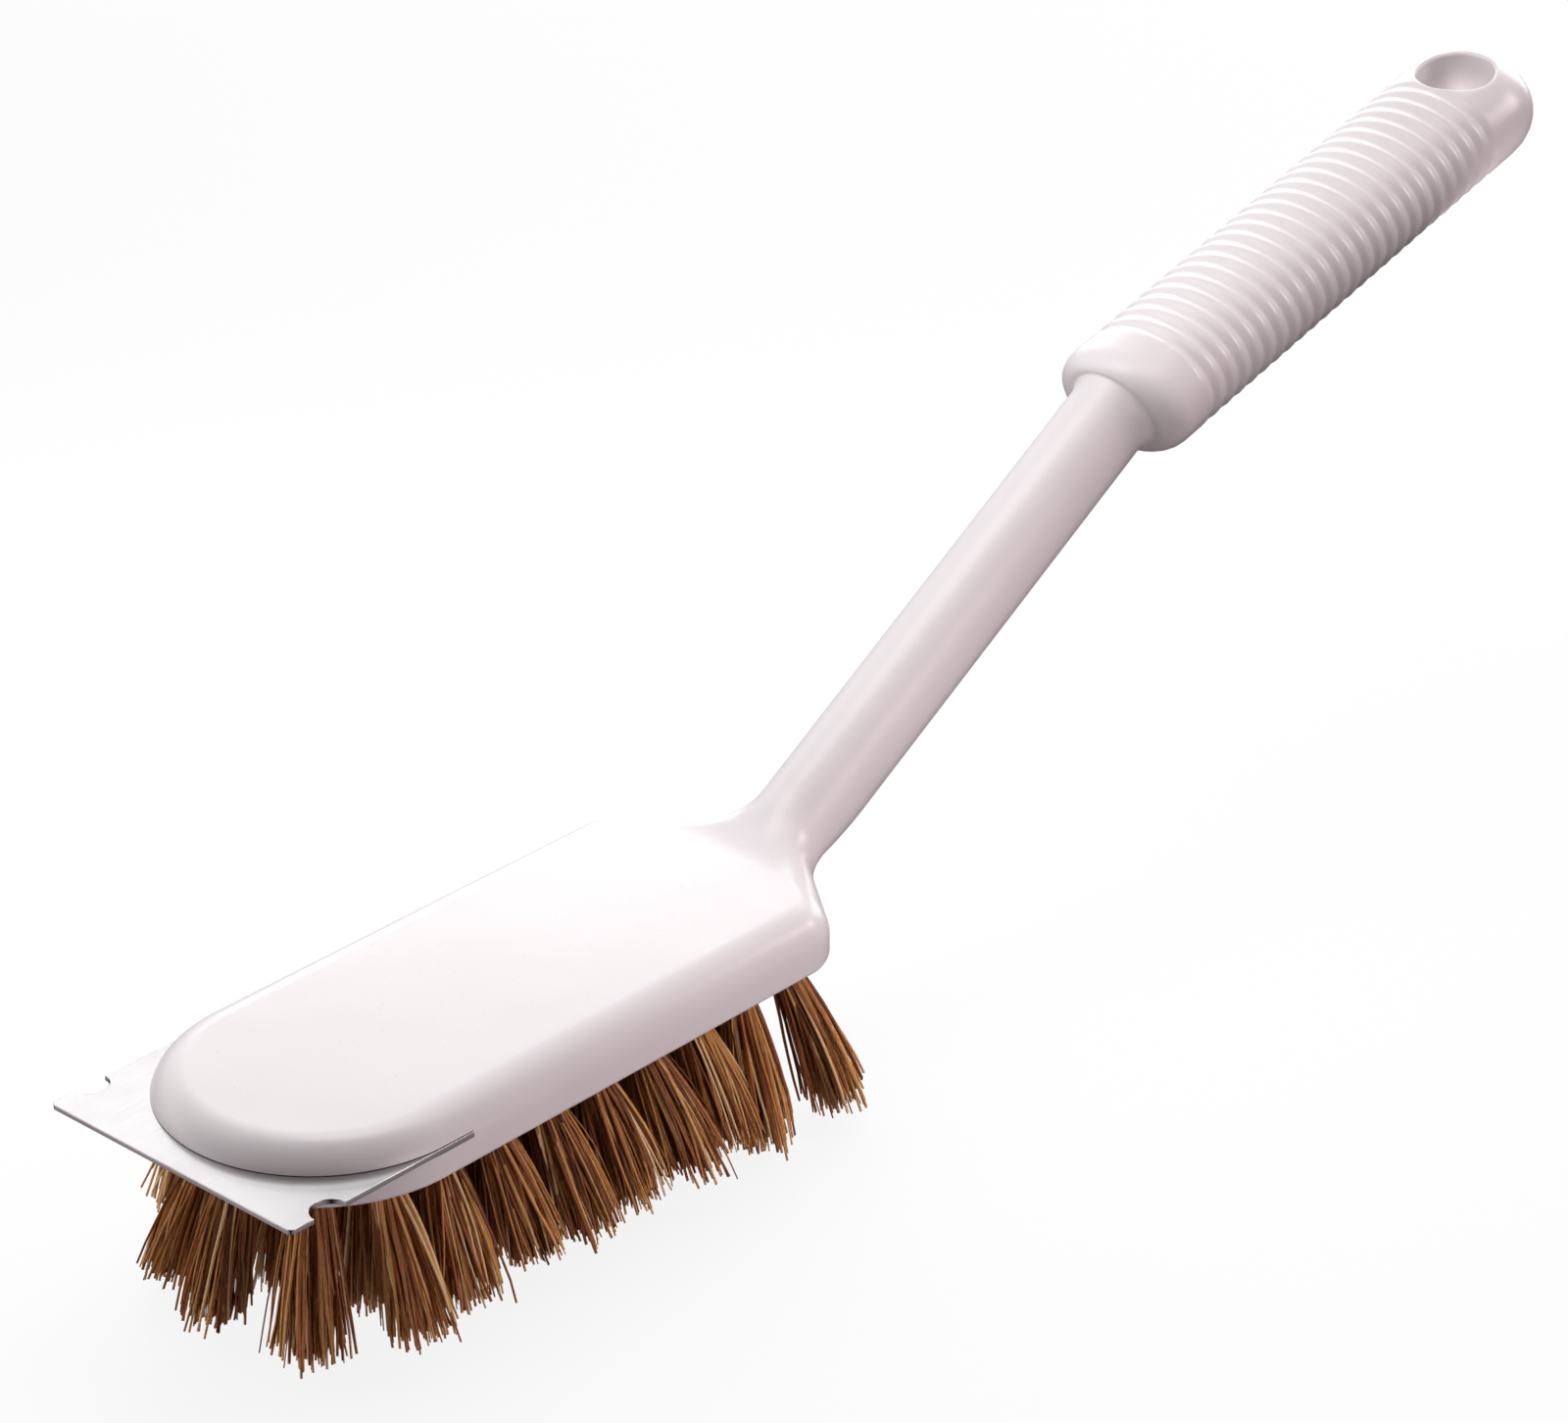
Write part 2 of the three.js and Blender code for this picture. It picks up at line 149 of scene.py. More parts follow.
class BodySizes(PropertyGroup):
    """Sizes and colours of the moulded body."""
    head_width: length("Head width", "Across the straight sides; the nose is a half circle as wide", 60)
    head_thickness: length("Head thickness", "Sole to top face", 11.3)
    side_length: length("Side length", "Straight run of each side behind the nose", 92.5)
    top_edge_radius: length("Top edge radius", "Rounding of the upper edge of the head", 6.5)
    sole_edge_radius: length("Sole edge radius", "Rounding of the lower edge of the head", 1.2)
    shoulder_radius: length("Shoulder radius", "Outer turn at the back of the head", 10)
    shoulder_angle: angle("Shoulder angle", "How far the back of the head turns in", 52)
    neck_radius: length("Neck radius", "Inner turn from the shoulder into the shank", 13)
    shank_diameter: length("Shank diameter", "Round bar between head and grip", 17)
    shank_angle: angle("Shank angle", "Rise from the plane of the head", 30.5)
    shank_length: length("Shank length", "Between the crossings of the head, shank and grip lines", 113.7)
    shank_setback: length("Shank setback", "From the straight sides to the start of the shank line", 21.5)
    bend_radius: length("Bend radius", "Bends of the middle line at both ends of the shank", 36)
    grip_angle: angle("Grip angle", "Rise from the plane of the head", 15.3)
    grip_length: length("Grip length", "From the bend to the domed end", 129.5)
    grip_width: length("Grip width", "Across the oval grip", 30.8)
    grip_height: length("Grip height", "Through the oval grip", 22.6)
    collar_root: length("Collar root", "Hollow turn from the shank up to the collar", 4)
    collar_edge: length("Collar edge", "Rounded front edge of the collar", 5)
    collar_share: share("Collar share", "Part of the step that the hollow turn climbs", 0.25)
    collar_length: length("Collar length", "Smooth front of the grip, up to the first rib", 10.5)
    rib_pitch: length("Rib pitch", "From rib to rib", 4.04)
    rib_depth: length("Rib depth", "Groove between two ribs", 0.6)
    smooth_end: length("Smooth end", "Plain back of the grip, behind the last rib", 22)
    dome_length: length("Dome length", "Rounded part of the plain back", 15)
    hang_hole_diameter: length("Hang hole", "Diameter of the hole in the end of the grip", 16)
    hang_hole_inset: length("Hang hole inset", "Hole centre to the end of the grip", 14.5)
    hang_hole_rim: length("Hang hole rim", "Rounding of both rims of the hang hole", 0.7)
    plastic: colour("Plastic", "White of the moulding", (0.87, 0.845, 0.852))
    plastic_shade: colour("Plastic shade", "Slightly deeper white of the flow clouds", (0.81, 0.780, 0.788))


class BladeSizes(PropertyGroup):
    """Sizes and colour of the scraper blade and of the wire fittings."""
    blade_length: length("Blade length", "Front edge to back edge", 42)
    blade_thickness: length("Blade thickness", "Sheet thickness", 1)
    blade_reach: length("Blade reach", "Front edge ahead of the nose", 5.6)
    blade_height: length("Blade height", "Underside above the sole", 5.5)
    corner_radius: length("Corner radius", "Front corners", 1.2)
    notch_diameter: length("Notch diameter", "Half-round notch that takes one grill rod", 7)
    notch_setback: length("Notch setback", "Notch centre behind the front edge", 8.7)
    edge_break: length("Edge break", "Rounding of the sheared edges", 0.12)
    slot_clearance: length("Slot clearance", "Air above and below the blade in its slot", 0.12)
    pin_diameter: length("Pin diameter", "Pins that hold the blade", 3)
    pin_cover: length("Pin cover", "Plastic over the pin holes", 1.6)
    steel: colour("Blade steel", "Brushed steel of the blade", (0.475, 0.462, 0.466))
    wire: colour("Wire steel", "Duller steel of anchors and pins", (0.55, 0.54, 0.52))


class TuftSizes(PropertyGroup):
    """Sizes and colours of the palm-fibre tufts."""
    fibre_length: length("Fibre length", "Below the sole", 32)
    first_tuft: length("First tuft", "Behind the tip of the nose", 10)
    tuft_pitch: length("Tuft pitch", "From tuft to tuft along a row", 12.4)
    row_count: count("Rows", "Staggered rows of tufts", 5, 2)
    row_inset: length("Row inset", "Outer rows to the sides of the head", 7.6)
    tuft_margin: length("Tuft margin", "Nearest that a tuft comes to the outline of the head", 5.9)
    tuft_diameter: length("Tuft diameter", "Bundle of fibres at the root", 5.2)
    tuft_cover: length("Tuft cover", "Plastic over the tuft holes", 3.4)
    slot_web: length("Slot web", "Plastic between a tuft hole and the blade slot", 0.5)
    hole_clearance: length("Hole clearance", "Tuft hole round its bundle, on every side", 0.3)
    root_depth: length("Root depth", "Fibre inside its hole", 2.5)
    anchor_groove: length("Anchor groove", "Length of the groove that each wire anchor bites into", 7.8)
    fibre_diameter: length("Fibre diameter", "One fibre at its root", 0.68)
    fibres: count("Fibres", "Fibres in one tuft", 200, 3)
    locks: count("Locks", "Locks that the tips of one tuft gather in", 20, 1)
    gather: share("Gather", "How far the tips draw together in their lock", 0.35)
    fan: share("Fan", "Spread of a tuft from root to tip", 2.9)
    lean_along: share("Lean along", "Outward lean of the tips along the head", 1.06)
    lean_across: share("Lean across", "Outward lean of the tips across the head", 1.28)
    nose_splay: length("Nose splay", "Extra outward lean of the tips round the nose", 7)
    tip_drag: length("Tip drag", "All tips lie a little towards the grip", 2.5)
    stray: length("Stray", "How far single tips leave their tuft", 3.2)
    wave: length("Wave", "Sideways wander of each fibre", 0.45)
    tip_scatter: share("Tip scatter", "How much shorter some fibres are, as a part of their length", 0.14)
    dark: colour("Dark fibre", "Oldest and darkest fibres", (0.100, 0.032, 0.014))
    brown: colour("Brown fibre", "Most of the fibres", (0.430, 0.152, 0.052))
    gold: colour("Golden fibre", "Fibres from the outside of the stalk", (0.780, 0.400, 0.125))
    straw: colour("Straw fibre", "The few palest fibres", (0.920, 0.660, 0.330))


class StudioSizes(PropertyGroup):
    """Camera, lights and floor."""
    lens: share("Lens", "Focal length in millimetres on a 36 mm wide picture", 118.395)
    azimuth: angle("Azimuth", "Turn of the camera about the upright axis", -47.67)
    elevation: angle("Elevation", "Height of the camera above the plane of the head", 27.07)
    roll: angle("Roll", "Turn of the camera about its own axis", -0.1)
    place: FloatVectorProperty(name="Place", description="Where the camera stands", size=3, subtype="XYZ",
                               unit="LENGTH", default=(-0.65776, -0.5685, 0.4972))
    key_tint: colour("Key tint", "Tint of the light from behind and above", (1, 1, 1))
    fill_tint: colour("Fill tint", "Tint of the light that fills the shaded sides", (1, 0.86, 0.885))
    floor: colour("Floor", "Floor under its own glow", (0.10, 0.10, 0.10))
    floor_glow: share("Floor glow", "Even light that the floor gives off", 0.872)


class BrushSettings(PropertyGroup):
    """All sizes and colours of the brush and of its studio."""
    body: PointerProperty(type=BodySizes)
    blade: PointerProperty(type=BladeSizes)
    tufts: PointerProperty(type=TuftSizes)
    studio: PointerProperty(type=StudioSizes)


def lerp(low, high, part):
    return low + (high - low) * part


def smoothstep(value, low, high):
    part = min(max((value - low) / (high - low), 0), 1)
    return part * part * (3 - 2 * part)


def steps(count):
    """Equal parts of one, without the start."""
    return [(i + 1) / count for i in range(count)]


def quarter_turn(count):
    """Equal steps of a quarter turn, without the start."""
    return [part * math.pi / 2 for part in steps(count)]


def joined_by(operation, turned=False):
    """A method that joins two values with one node."""
    def join(self, other):
        first, second = (other, self) if turned else (self, other)
        return self.board.sum(operation, first, second)
    return join


class Socket:
    """A node's output that takes part in sums and products."""

    def __init__(self, board, socket):
        self.board = board
        self.socket = socket
        self.is_vector = socket.type in ("VECTOR", "RGBA")

    __add__ = joined_by("ADD")
    __radd__ = joined_by("ADD", True)
    __sub__ = joined_by("SUBTRACT")
    __rsub__ = joined_by("SUBTRACT", True)
    __mul__ = joined_by("MULTIPLY")
    __rmul__ = joined_by("MULTIPLY", True)
    __truediv__ = joined_by("DIVIDE")
    __pow__ = joined_by("POWER")


class NodeBoard:
    """A node tree and the ways to fill it."""

    def __init__(self, tree):
        self.tree = tree
        tree.nodes.clear()

    def pick(self, sockets, key):
        """The socket with this number, identifier or name that is in use with the node's settings."""
        if isinstance(key, int):
            return sockets[key]
        named = [socket for socket in sockets if socket.enabled and socket.name == key]
        return (named or [socket for socket in sockets if socket.identifier == key])[0]

    def node(self, kind, settings=None, sockets=None, output=0):
        """Adds a node: its settings first, then the values or links of its sockets. Gives one output."""
        made = self.tree.nodes.new(kind)
        for key, value in (settings or {}).items():
            if key == "stops":
                self.set_stops(made.color_ramp, value)
            else:
                setattr(made, key, value)
        for key, value in (sockets or {}).items():
            socket = self.pick(made.inputs, key)
            if isinstance(value, Socket):
                self.tree.links.new(value.socket, socket)
            else:
                socket.default_value = value
        if not made.outputs:
            return None
        return Socket(self, self.pick(made.outputs, output))

    def set_stops(self, ramp, stops):
        while len(ramp.elements) < len(stops):
            ramp.elements.new(1)
        for element, (position, value) in zip(ramp.elements, stops):
            element.position = position
            element.color = (*value, 1)

    def sum(self, operation, first, second):
        """One Math node, or one Vector Math node where a vector takes part."""
        vectors = [getattr(value, "is_vector", False) for value in (first, second)]
        if not any(vectors):
            return self.node("ShaderNodeMath", {"operation": operation}, {0: first, 1: second})
        if operation == "MULTIPLY" and not all(vectors):
            vector, scale = (first, second) if vectors[0] else (second, first)
            return self.node("ShaderNodeVectorMath", {"operation": "SCALE"}, {0: vector, "Scale": scale})
        return self.node("ShaderNodeVectorMath", {"operation": operation}, {0: first, 1: second})

    def mix(self, factor, first, second):
        """A blend of two colours."""
        sockets = {"Factor_Float": factor, "A_Color": (*first, 1), "B_Color": (*second, 1)}
        return self.node("ShaderNodeMix", {"data_type": "RGBA"}, sockets, "Result_Color")

    def noise(self, place, scale, detail, output=0):
        sockets = {"Vector": place, "Scale": scale, "Detail": detail}
        return self.node("ShaderNodeTexNoise", None, sockets, output)

    def bump(self, strength, distance, height):
        sockets = {"Strength": strength, "Distance": distance, "Height": height}
        return self.node("ShaderNodeBump", None, sockets)

    def spread(self, value, low, high):
        """Stretches the part of a value between two limits to 0 and 1."""
        return self.node("ShaderNodeMapRange", None, {"Value": value, "From Min": low, "From Max": high})

    def object_place(self, scale=(1, 1, 1)):
        place = self.node("ShaderNodeTexCoord", None, None, "Object")
        if scale == (1, 1, 1):
            return place
        return self.node("ShaderNodeMapping", None, {"Vector": place, "Scale": scale})


def finish(name, build):
    """A material whose surface is a Principled shader with the sockets that build gives."""
    material = bpy.data.materials.new(name)
    material.use_nodes = True
    board = NodeBoard(material.node_tree)
    surface = board.node("ShaderNodeBsdfPrincipled", None, build(board))
    board.node("ShaderNodeOutputMaterial", None, {"Surface": surface})
    return material


def white_plastic(body):
    """Glossy white moulding: faint flow clouds, shallow sinks and a very fine grain."""
    def build(board):
        place = board.object_place()
        clouds = board.noise(place, 24.0, 1.0)
        sinks = board.noise(place, 55.0, 1.0)
        grain = board.noise(place, 1400.0, 2.0)
        return {
            "Base Color": board.mix(clouds, body.plastic, body.plastic_shade),
            "Roughness": 0.26 + grain * 0.05,
            "Normal": board.bump(0.25, 0.0006, sinks + grain * 0.02),
            "IOR": 1.49,
        }
    return finish("white_plastic", build)


def brushed_steel(name, tint, roughness):
    """Sheet or wire steel with fine lines along its length and a few stains."""
    def build(board):
        lines = board.noise(board.object_place((60, 2600, 900)), 1.0, 4.0)
        stains = board.spread(board.noise(board.object_place(), 90.0, 4.0), 0.45, 0.75)
        stained = [0.86 * part for part in tint]
        return {
            "Base Color": board.mix(stains, tint, stained),
            "Roughness": roughness + lines * 0.05 + stains * 0.04,
            "Metallic": 1.0,
            "Normal": board.bump(0.12, 0.0001, lines),
        }
    return finish(name, build)


def palm_fibre(tufts):
    """Palm fibre: each one has its own tone, is paler towards the tip and is streaked along its length."""
    def build(board):
        tone, along = (board.node("ShaderNodeAttribute", {"attribute_name": name}, None, "Fac")
                       for name in ("tone", "along"))
        streaks = board.noise(board.object_place((2200, 2200, 160)), 1.0, 3.0)
        depth = tone + (streaks - 0.5) * 0.35 + along * 0.12
        stops = [(0.0, tufts.dark), (0.42, tufts.brown), (0.78, tufts.gold), (1.0, tufts.straw)]
        return {
            "Base Color": board.node("ShaderNodeValToRGB", {"stops": stops}, {"Fac": depth}),
            "Roughness": 0.42 + streaks * 0.2,
            "Normal": board.bump(0.3, 0.0001, streaks),
            "Specular IOR Level": 0.3,
        }
    return finish("palm_fibre", build)


def studio_floor(studio):
    """Pale matt floor that stays light under the brush."""
    def build(board):
        clouds = board.noise(board.object_place(), 3.0, 2.0)
        darker = [0.985 * part for part in studio.floor]
        return {
            "Base Color": board.mix(clouds, studio.floor, darker),
            "Roughness": 0.9,
            "Emission Color": (1, 1, 1, 1),
            "Emission Strength": studio.floor_glow,
        }
    return finish("studio_floor", build)


def new_piece(name, mesh, materials=()):
    piece = bpy.data.objects.new(name, mesh)
    bpy.context.scene.collection.objects.link(piece)
    for material in materials:
        mesh.materials.append(material)
    return piece


def evaluated_mesh(piece):
    """The piece with its modifiers, or a curve with its fill, as a plain mesh."""
    depsgraph = bpy.context.evaluated_depsgraph_get()
    made = piece.evaluated_get(depsgraph)
    return bpy.data.meshes.new_from_object(made, preserve_all_data_layers=True, depsgraph=depsgraph)


def smooth_but_edges(mesh, degrees):
    mesh.shade_smooth()
    mesh.set_sharp_from_angle(angle=math.radians(degrees))


def settle(piece, slot, *nodes):
    """The piece rides on the brush and stands for its CAD nodes."""
    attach(piece, "root")
    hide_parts(*nodes)


class BodyLines:
    """The middle line and the sections of the body, from the tip of the nose and up from the sole."""

    def __init__(self, body):
        self.body = body
        self.nose = body.head_width / 2
        self.side_end = self.nose + body.side_length
        self.shank = body.shank_diameter / 2
        ease = body.shank_angle - body.grip_angle
        first_tangent = body.bend_radius * math.tan(body.shank_angle / 2)
        second_tangent = body.bend_radius * math.tan(ease / 2)
        first_start = self.side_end + body.shank_setback - first_tangent
        first_end = first_start + body.bend_radius * body.shank_angle
        second_start = first_end + body.shank_length - first_tangent - second_tangent
        self.bends = [(first_start, body.shank_angle), (second_start, -ease)]
        self.grip_start = second_start + body.bend_radius * ease / 2
        self.grip_end = self.grip_start + body.grip_length
        ribbed = body.grip_length - body.collar_length - body.smooth_end
        self.rib_count = math.floor(ribbed / body.rib_pitch)
        turned_in = 1 - math.cos(body.shoulder_angle)
        self.shoulder_end = self.side_end + body.shoulder_radius * math.sin(body.shoulder_angle)
        self.shoulder_width = self.nose - body.shoulder_radius * turned_in
        self.neck_width = self.shank + body.neck_radius * turned_in
        slope = math.tan(body.shoulder_angle)
        self.neck_start = self.shoulder_end + (self.shoulder_width - self.neck_width) / slope
        self.neck_end = self.neck_start + body.neck_radius * math.sin(body.shoulder_angle)
        self.neck_delay = body.shoulder_radius

    def spine(self, distance):
        """A point of the middle line and its slope: straight, bent up into the shank, eased into the grip."""
        radius = self.body.bend_radius
        point = Vector((0, 0, self.body.head_thickness / 2))
        slope = 0
        passed = 0
        for start, turn in self.bends:
            run = min(distance, start) - passed
            point += Vector((run * math.cos(slope), 0, run * math.sin(slope)))
            if distance <= start:
                return point, slope
            side = math.copysign(1, turn)
            bent = min(distance - start, radius * abs(turn))
            after = slope + side * bent / radius
            point.x += side * radius * (math.sin(after) - math.sin(slope))
            point.z += side * radius * (math.cos(slope) - math.cos(after))
            slope = after
            passed = start + bent
        run = distance - passed
        return point + Vector((run * math.cos(slope), 0, run * math.sin(slope))), slope

    def head_station(self, distance, half_width):
        """A section of head or neck, whose corners open out to the full round of the shank."""
        half = self.body.head_thickness / 2
        rise = smoothstep(distance, self.shoulder_end, self.neck_end)
        drop = smoothstep(distance, self.shoulder_end + self.neck_delay, self.neck_end + self.neck_delay)
        roundness = smoothstep(distance, self.side_end, self.neck_end)
        return distance, half_width, lerp(half, self.shank, rise), lerp(half, self.shank, drop), roundness

    def grip_station(self, distance, part, inset=0, scale=1):
        """A full oval, part of the way from the shank to the grip, or shrunk towards the end of the dome."""
        half_width = (lerp(self.shank, self.body.grip_width / 2, part) - inset) * scale
        half_height = (lerp(self.shank, self.body.grip_height / 2, part) - inset) * scale
        return distance, half_width, half_height, half_height, 1

    def head_stations(self):
        """Head, shoulders and neck."""
        body = self.body
        for part in [0] + steps(SIDE_STEPS):
            yield self.head_station(lerp(self.nose, self.side_end, part), self.nose)
        for part in steps(TURN_STEPS):
            turn = part * body.shoulder_angle
            half_width = self.nose - body.shoulder_radius * (1 - math.cos(turn))
            yield self.head_station(self.side_end + body.shoulder_radius * math.sin(turn), half_width)
        for part in steps(FLANK_STEPS):
            distance = lerp(self.shoulder_end, self.neck_start, part)
            yield self.head_station(distance, lerp(self.shoulder_width, self.neck_width, part))
        for part in steps(TURN_STEPS):
            turn = (1 - part) * body.shoulder_angle
            half_width = self.shank + body.neck_radius * (1 - math.cos(turn))
            yield self.head_station(self.neck_end - body.neck_radius * math.sin(turn), half_width)
        for part in steps(NECK_STEPS):
            yield self.head_station(self.neck_end + part * self.neck_delay, self.shank)

    def collar_stations(self):
        """Upper end of the shank and the step up to the grip."""
        body = self.body
        start = self.grip_start - body.collar_root
        bend = self.bends[1][0]
        for i in range(RUN_IN_STEPS):
            yield self.grip_station(lerp(bend - SHANK_RUN_IN, bend, i / RUN_IN_STEPS), 0)
        for part in [0] + steps(BEND_STEPS):
            yield self.grip_station(lerp(bend, start, part), 0)
        for turn in quarter_turn(COLLAR_ROOT_STEPS):
            climb = body.collar_share * (1 - math.cos(turn))
            yield self.grip_station(start + body.collar_root * math.sin(turn), climb)
        for turn in quarter_turn(TURN_STEPS):
            climb = lerp(body.collar_share, 1, math.sin(turn))
            yield self.grip_station(self.grip_start + body.collar_edge * (1 - math.cos(turn)), climb)

    def rib_stations(self):
        """Rounded ribs with a narrower groove between them."""
        body = self.body
        first = self.grip_start + body.collar_length
        yield self.grip_station(first - EDGE_STRIP, 1)
        yield self.grip_station(first, 1)
        for part in steps(self.rib_count * RIB_STEPS):
            turn = math.pi * self.rib_count * part
            groove = lerp((1 - math.cos(2 * turn)) / 2, 1 - abs(math.cos(turn)), RIB_ROUNDNESS)
            distance = first + self.rib_count * body.rib_pitch * part
            yield self.grip_station(distance, 1, body.rib_depth * groove)

    def dome_stations(self):
        """Rounded end of the grip."""
        body = self.body
        start = self.grip_end - body.dome_length
        yield self.grip_station(start - EDGE_STRIP, 1)
        yield self.grip_station(start, 1)
        for turn in quarter_turn(DOME_STEPS):
            scale = math.cos(turn) if turn < math.pi / 2 else 0
            yield self.grip_station(start + body.dome_length * math.sin(turn), 1, 0, scale)

    def half_section(self, station, outward):
        """Points of a half section from the middle of the underside to the middle of the top."""
        distance, half_width, above, below, roundness = station
        point, slope = self.spine(distance)
        up = Vector((-math.sin(slope), 0, math.cos(slope)))
        sole_across = lerp(self.body.sole_edge_radius, half_width, roundness)
        sole_up = lerp(self.body.sole_edge_radius, below, roundness)
        top_across = lerp(self.body.top_edge_radius, half_width, roundness)
        top_up = lerp(self.body.top_edge_radius, above, roundness)
        sole_flat = max(half_width - sole_across - EDGE_STRIP, 0)
        top_flat = max(half_width - top_across - EDGE_STRIP, 0)
        places = [(0, -below), (sole_flat, -below)]
        for turn in [0] + quarter_turn(SOLE_EDGE_STEPS):
            across = half_width - sole_across * (1 - math.sin(turn))
            places.append((across, -below + sole_up * (1 - math.cos(turn))))
        for turn in [0] + quarter_turn(TOP_EDGE_STEPS):
            across = half_width - top_across * (1 - math.cos(turn))
            places.append((across, above - top_up * (1 - math.sin(turn))))
        places += [(top_flat, above), (0, above)]
        return [point + outward * across + up * height for across, height in places]

    def rows(self):
        """Half sections from the end of the grip along one side, round the nose and back along the other."""
        stations = [*self.head_stations(), *self.collar_stations()]
        stations += [*self.rib_stations(), *self.dome_stations()]
        made = [self.half_section(station, Vector((0, 1, 0))) for station in reversed(stations)]
        for part in steps(NOSE_STEPS)[:-1]:
            turn = math.pi * (0.5 + part)
            made.append(self.half_section(stations[0], Vector((math.cos(turn), math.sin(turn), 0))))
        return made + [self.half_section(station, Vector((0, -1, 0))) for station in stations]


def body_blank(lines):
    """The closed skin of the body before anything is cut."""
    rows = lines.rows()
    skin = bmesh.new()
    grid = [[skin.verts.new(point) for point in row] for row in rows]
    for near, far in zip(grid, grid[1:]):
        for i in range(len(near) - 1):
            skin.faces.new((near[i], far[i], far[i + 1], near[i + 1]))
    bmesh.ops.remove_doubles(skin, verts=skin.verts, dist=WELD)
    bmesh.ops.recalc_face_normals(skin, faces=skin.faces)
    mesh = bpy.data.meshes.new("moulded_body")
    skin.to_mesh(mesh)
    skin.free()
    return mesh


def bar(shape, centre, up, radius, height, sides):
    """Adds a round bar to a cutting shape."""
    turn = up.to_track_quat("Z", "X").to_matrix().to_4x4() @ Matrix.Rotation(0.5 * math.pi / sides, 4, "Z")
    bmesh.ops.create_cone(shape, cap_ends=True, segments=sides, radius1=radius, radius2=radius, depth=height,
                          matrix=Matrix.Translation(centre) @ turn)


def block(shape, low, high):
    """Adds a box to a cutting shape."""
    size = high - low
    matrix = Matrix.Translation((low + high) / 2) @ Matrix.Diagonal((*size, 1))
    bmesh.ops.create_cube(shape, size=1, matrix=matrix)


def cut_away(piece, shape):
    """Takes a cutting shape out of a piece."""
    mesh = bpy.data.meshes.new("cutter")
    shape.to_mesh(mesh)
    shape.free()
    cutter = new_piece("cutter", mesh)
    cut = piece.modifiers.new("cut", "BOOLEAN")
    cut.operation = "DIFFERENCE"
    cut.solver = "EXACT"
    cut.object = cutter
    old = piece.data
    piece.data = evaluated_mesh(piece)
    piece.modifiers.clear()
    bpy.data.meshes.remove(old)
    bpy.data.objects.remove(cutter)
    bpy.data.meshes.remove(mesh)


def row_pitch(brush):
    """From one row of tufts to the next."""
    return (brush.body.head_width - 2 * brush.tufts.row_inset) / (brush.tufts.row_count - 1)


def pin_places(brush):
    """Places of the two blade pins, between the tufts."""
    x = brush.tufts.first_tuft + brush.tufts.tuft_pitch
    return [(x, side * row_pitch(brush) * 2 / 3) for side in (-1, 1)]


def tuft_field(brush):
    """Place, column and depth of each tuft, in staggered rows that stay inside the outline of the head."""
    body, blade, tufts = brush.body, brush.blade, brush.tufts
    nose = body.head_width / 2
    side_end = nose + body.side_length
    reach = nose - tufts.tuft_margin + WELD
    slot_floor = blade.blade_height - FITTING_GAP
    slot_end = blade.blade_length - blade.blade_reach + FITTING_GAP
    field = []
    for row in range(tufts.row_count):
        y = (row - (tufts.row_count - 1) / 2) * row_pitch(brush)
        column = row % 2
        while tufts.first_tuft + column * tufts.tuft_pitch / 2 <= side_end:
            x = tufts.first_tuft + column * tufts.tuft_pitch / 2
            shallow = x < slot_end + tufts.tuft_margin
            depth = slot_floor - tufts.slot_web if shallow else body.head_thickness - tufts.tuft_cover
            if abs(y) <= reach and (x >= nose or math.hypot(x - nose, y) <= reach):
                field.append((x, y, column, depth))
            column += 2
    return field


def cut_head(piece, brush):
    """Blade slot, tuft holes, anchor grooves and pin holes."""
    body, blade, tufts = brush.body, brush.blade, brush.tufts
    up = Vector((0, 0, 1))
    slot_floor = blade.blade_height - blade.slot_clearance
    slot_roof = blade.blade_height + blade.blade_thickness + blade.slot_clearance
    slot_end = blade.blade_length - blade.blade_reach + blade.slot_clearance
    holes = bmesh.new()
    block(holes, Vector((-SLOT_PAST, -SLOT_PAST, slot_floor)), Vector((slot_end, SLOT_PAST, slot_roof)))
    field = tuft_field(brush)
    radius = tufts.tuft_diameter / 2 + tufts.hole_clearance
    for x, y, _, depth in field:
        centre = Vector((x, y, (depth - HOLE_PAST) / 2))
        bar(holes, centre, up, radius, depth + HOLE_PAST, TUFT_HOLE_SIDES)
    cut_away(piece, holes)
    fittings = bmesh.new()
    half_groove = Vector((tufts.anchor_groove / 2, GROOVE_HALF_WIDTH, GROOVE_HEIGHT / 2))
    for x, y, _, depth in field:
        centre = Vector((x, y, depth - FOLD_COVER - GROOVE_HEIGHT / 2))
        block(fittings, centre - half_groove, centre + half_groove)
    pin_end = body.head_thickness - blade.pin_cover
    for x, y in pin_places(brush):
        centre = Vector((x, y, (PIN_START + pin_end) / 2))
        bar(fittings, centre, up, blade.pin_diameter / 2 + FITTING_GAP, pin_end - PIN_START, PIN_SIDES)
    cut_away(piece, fittings)


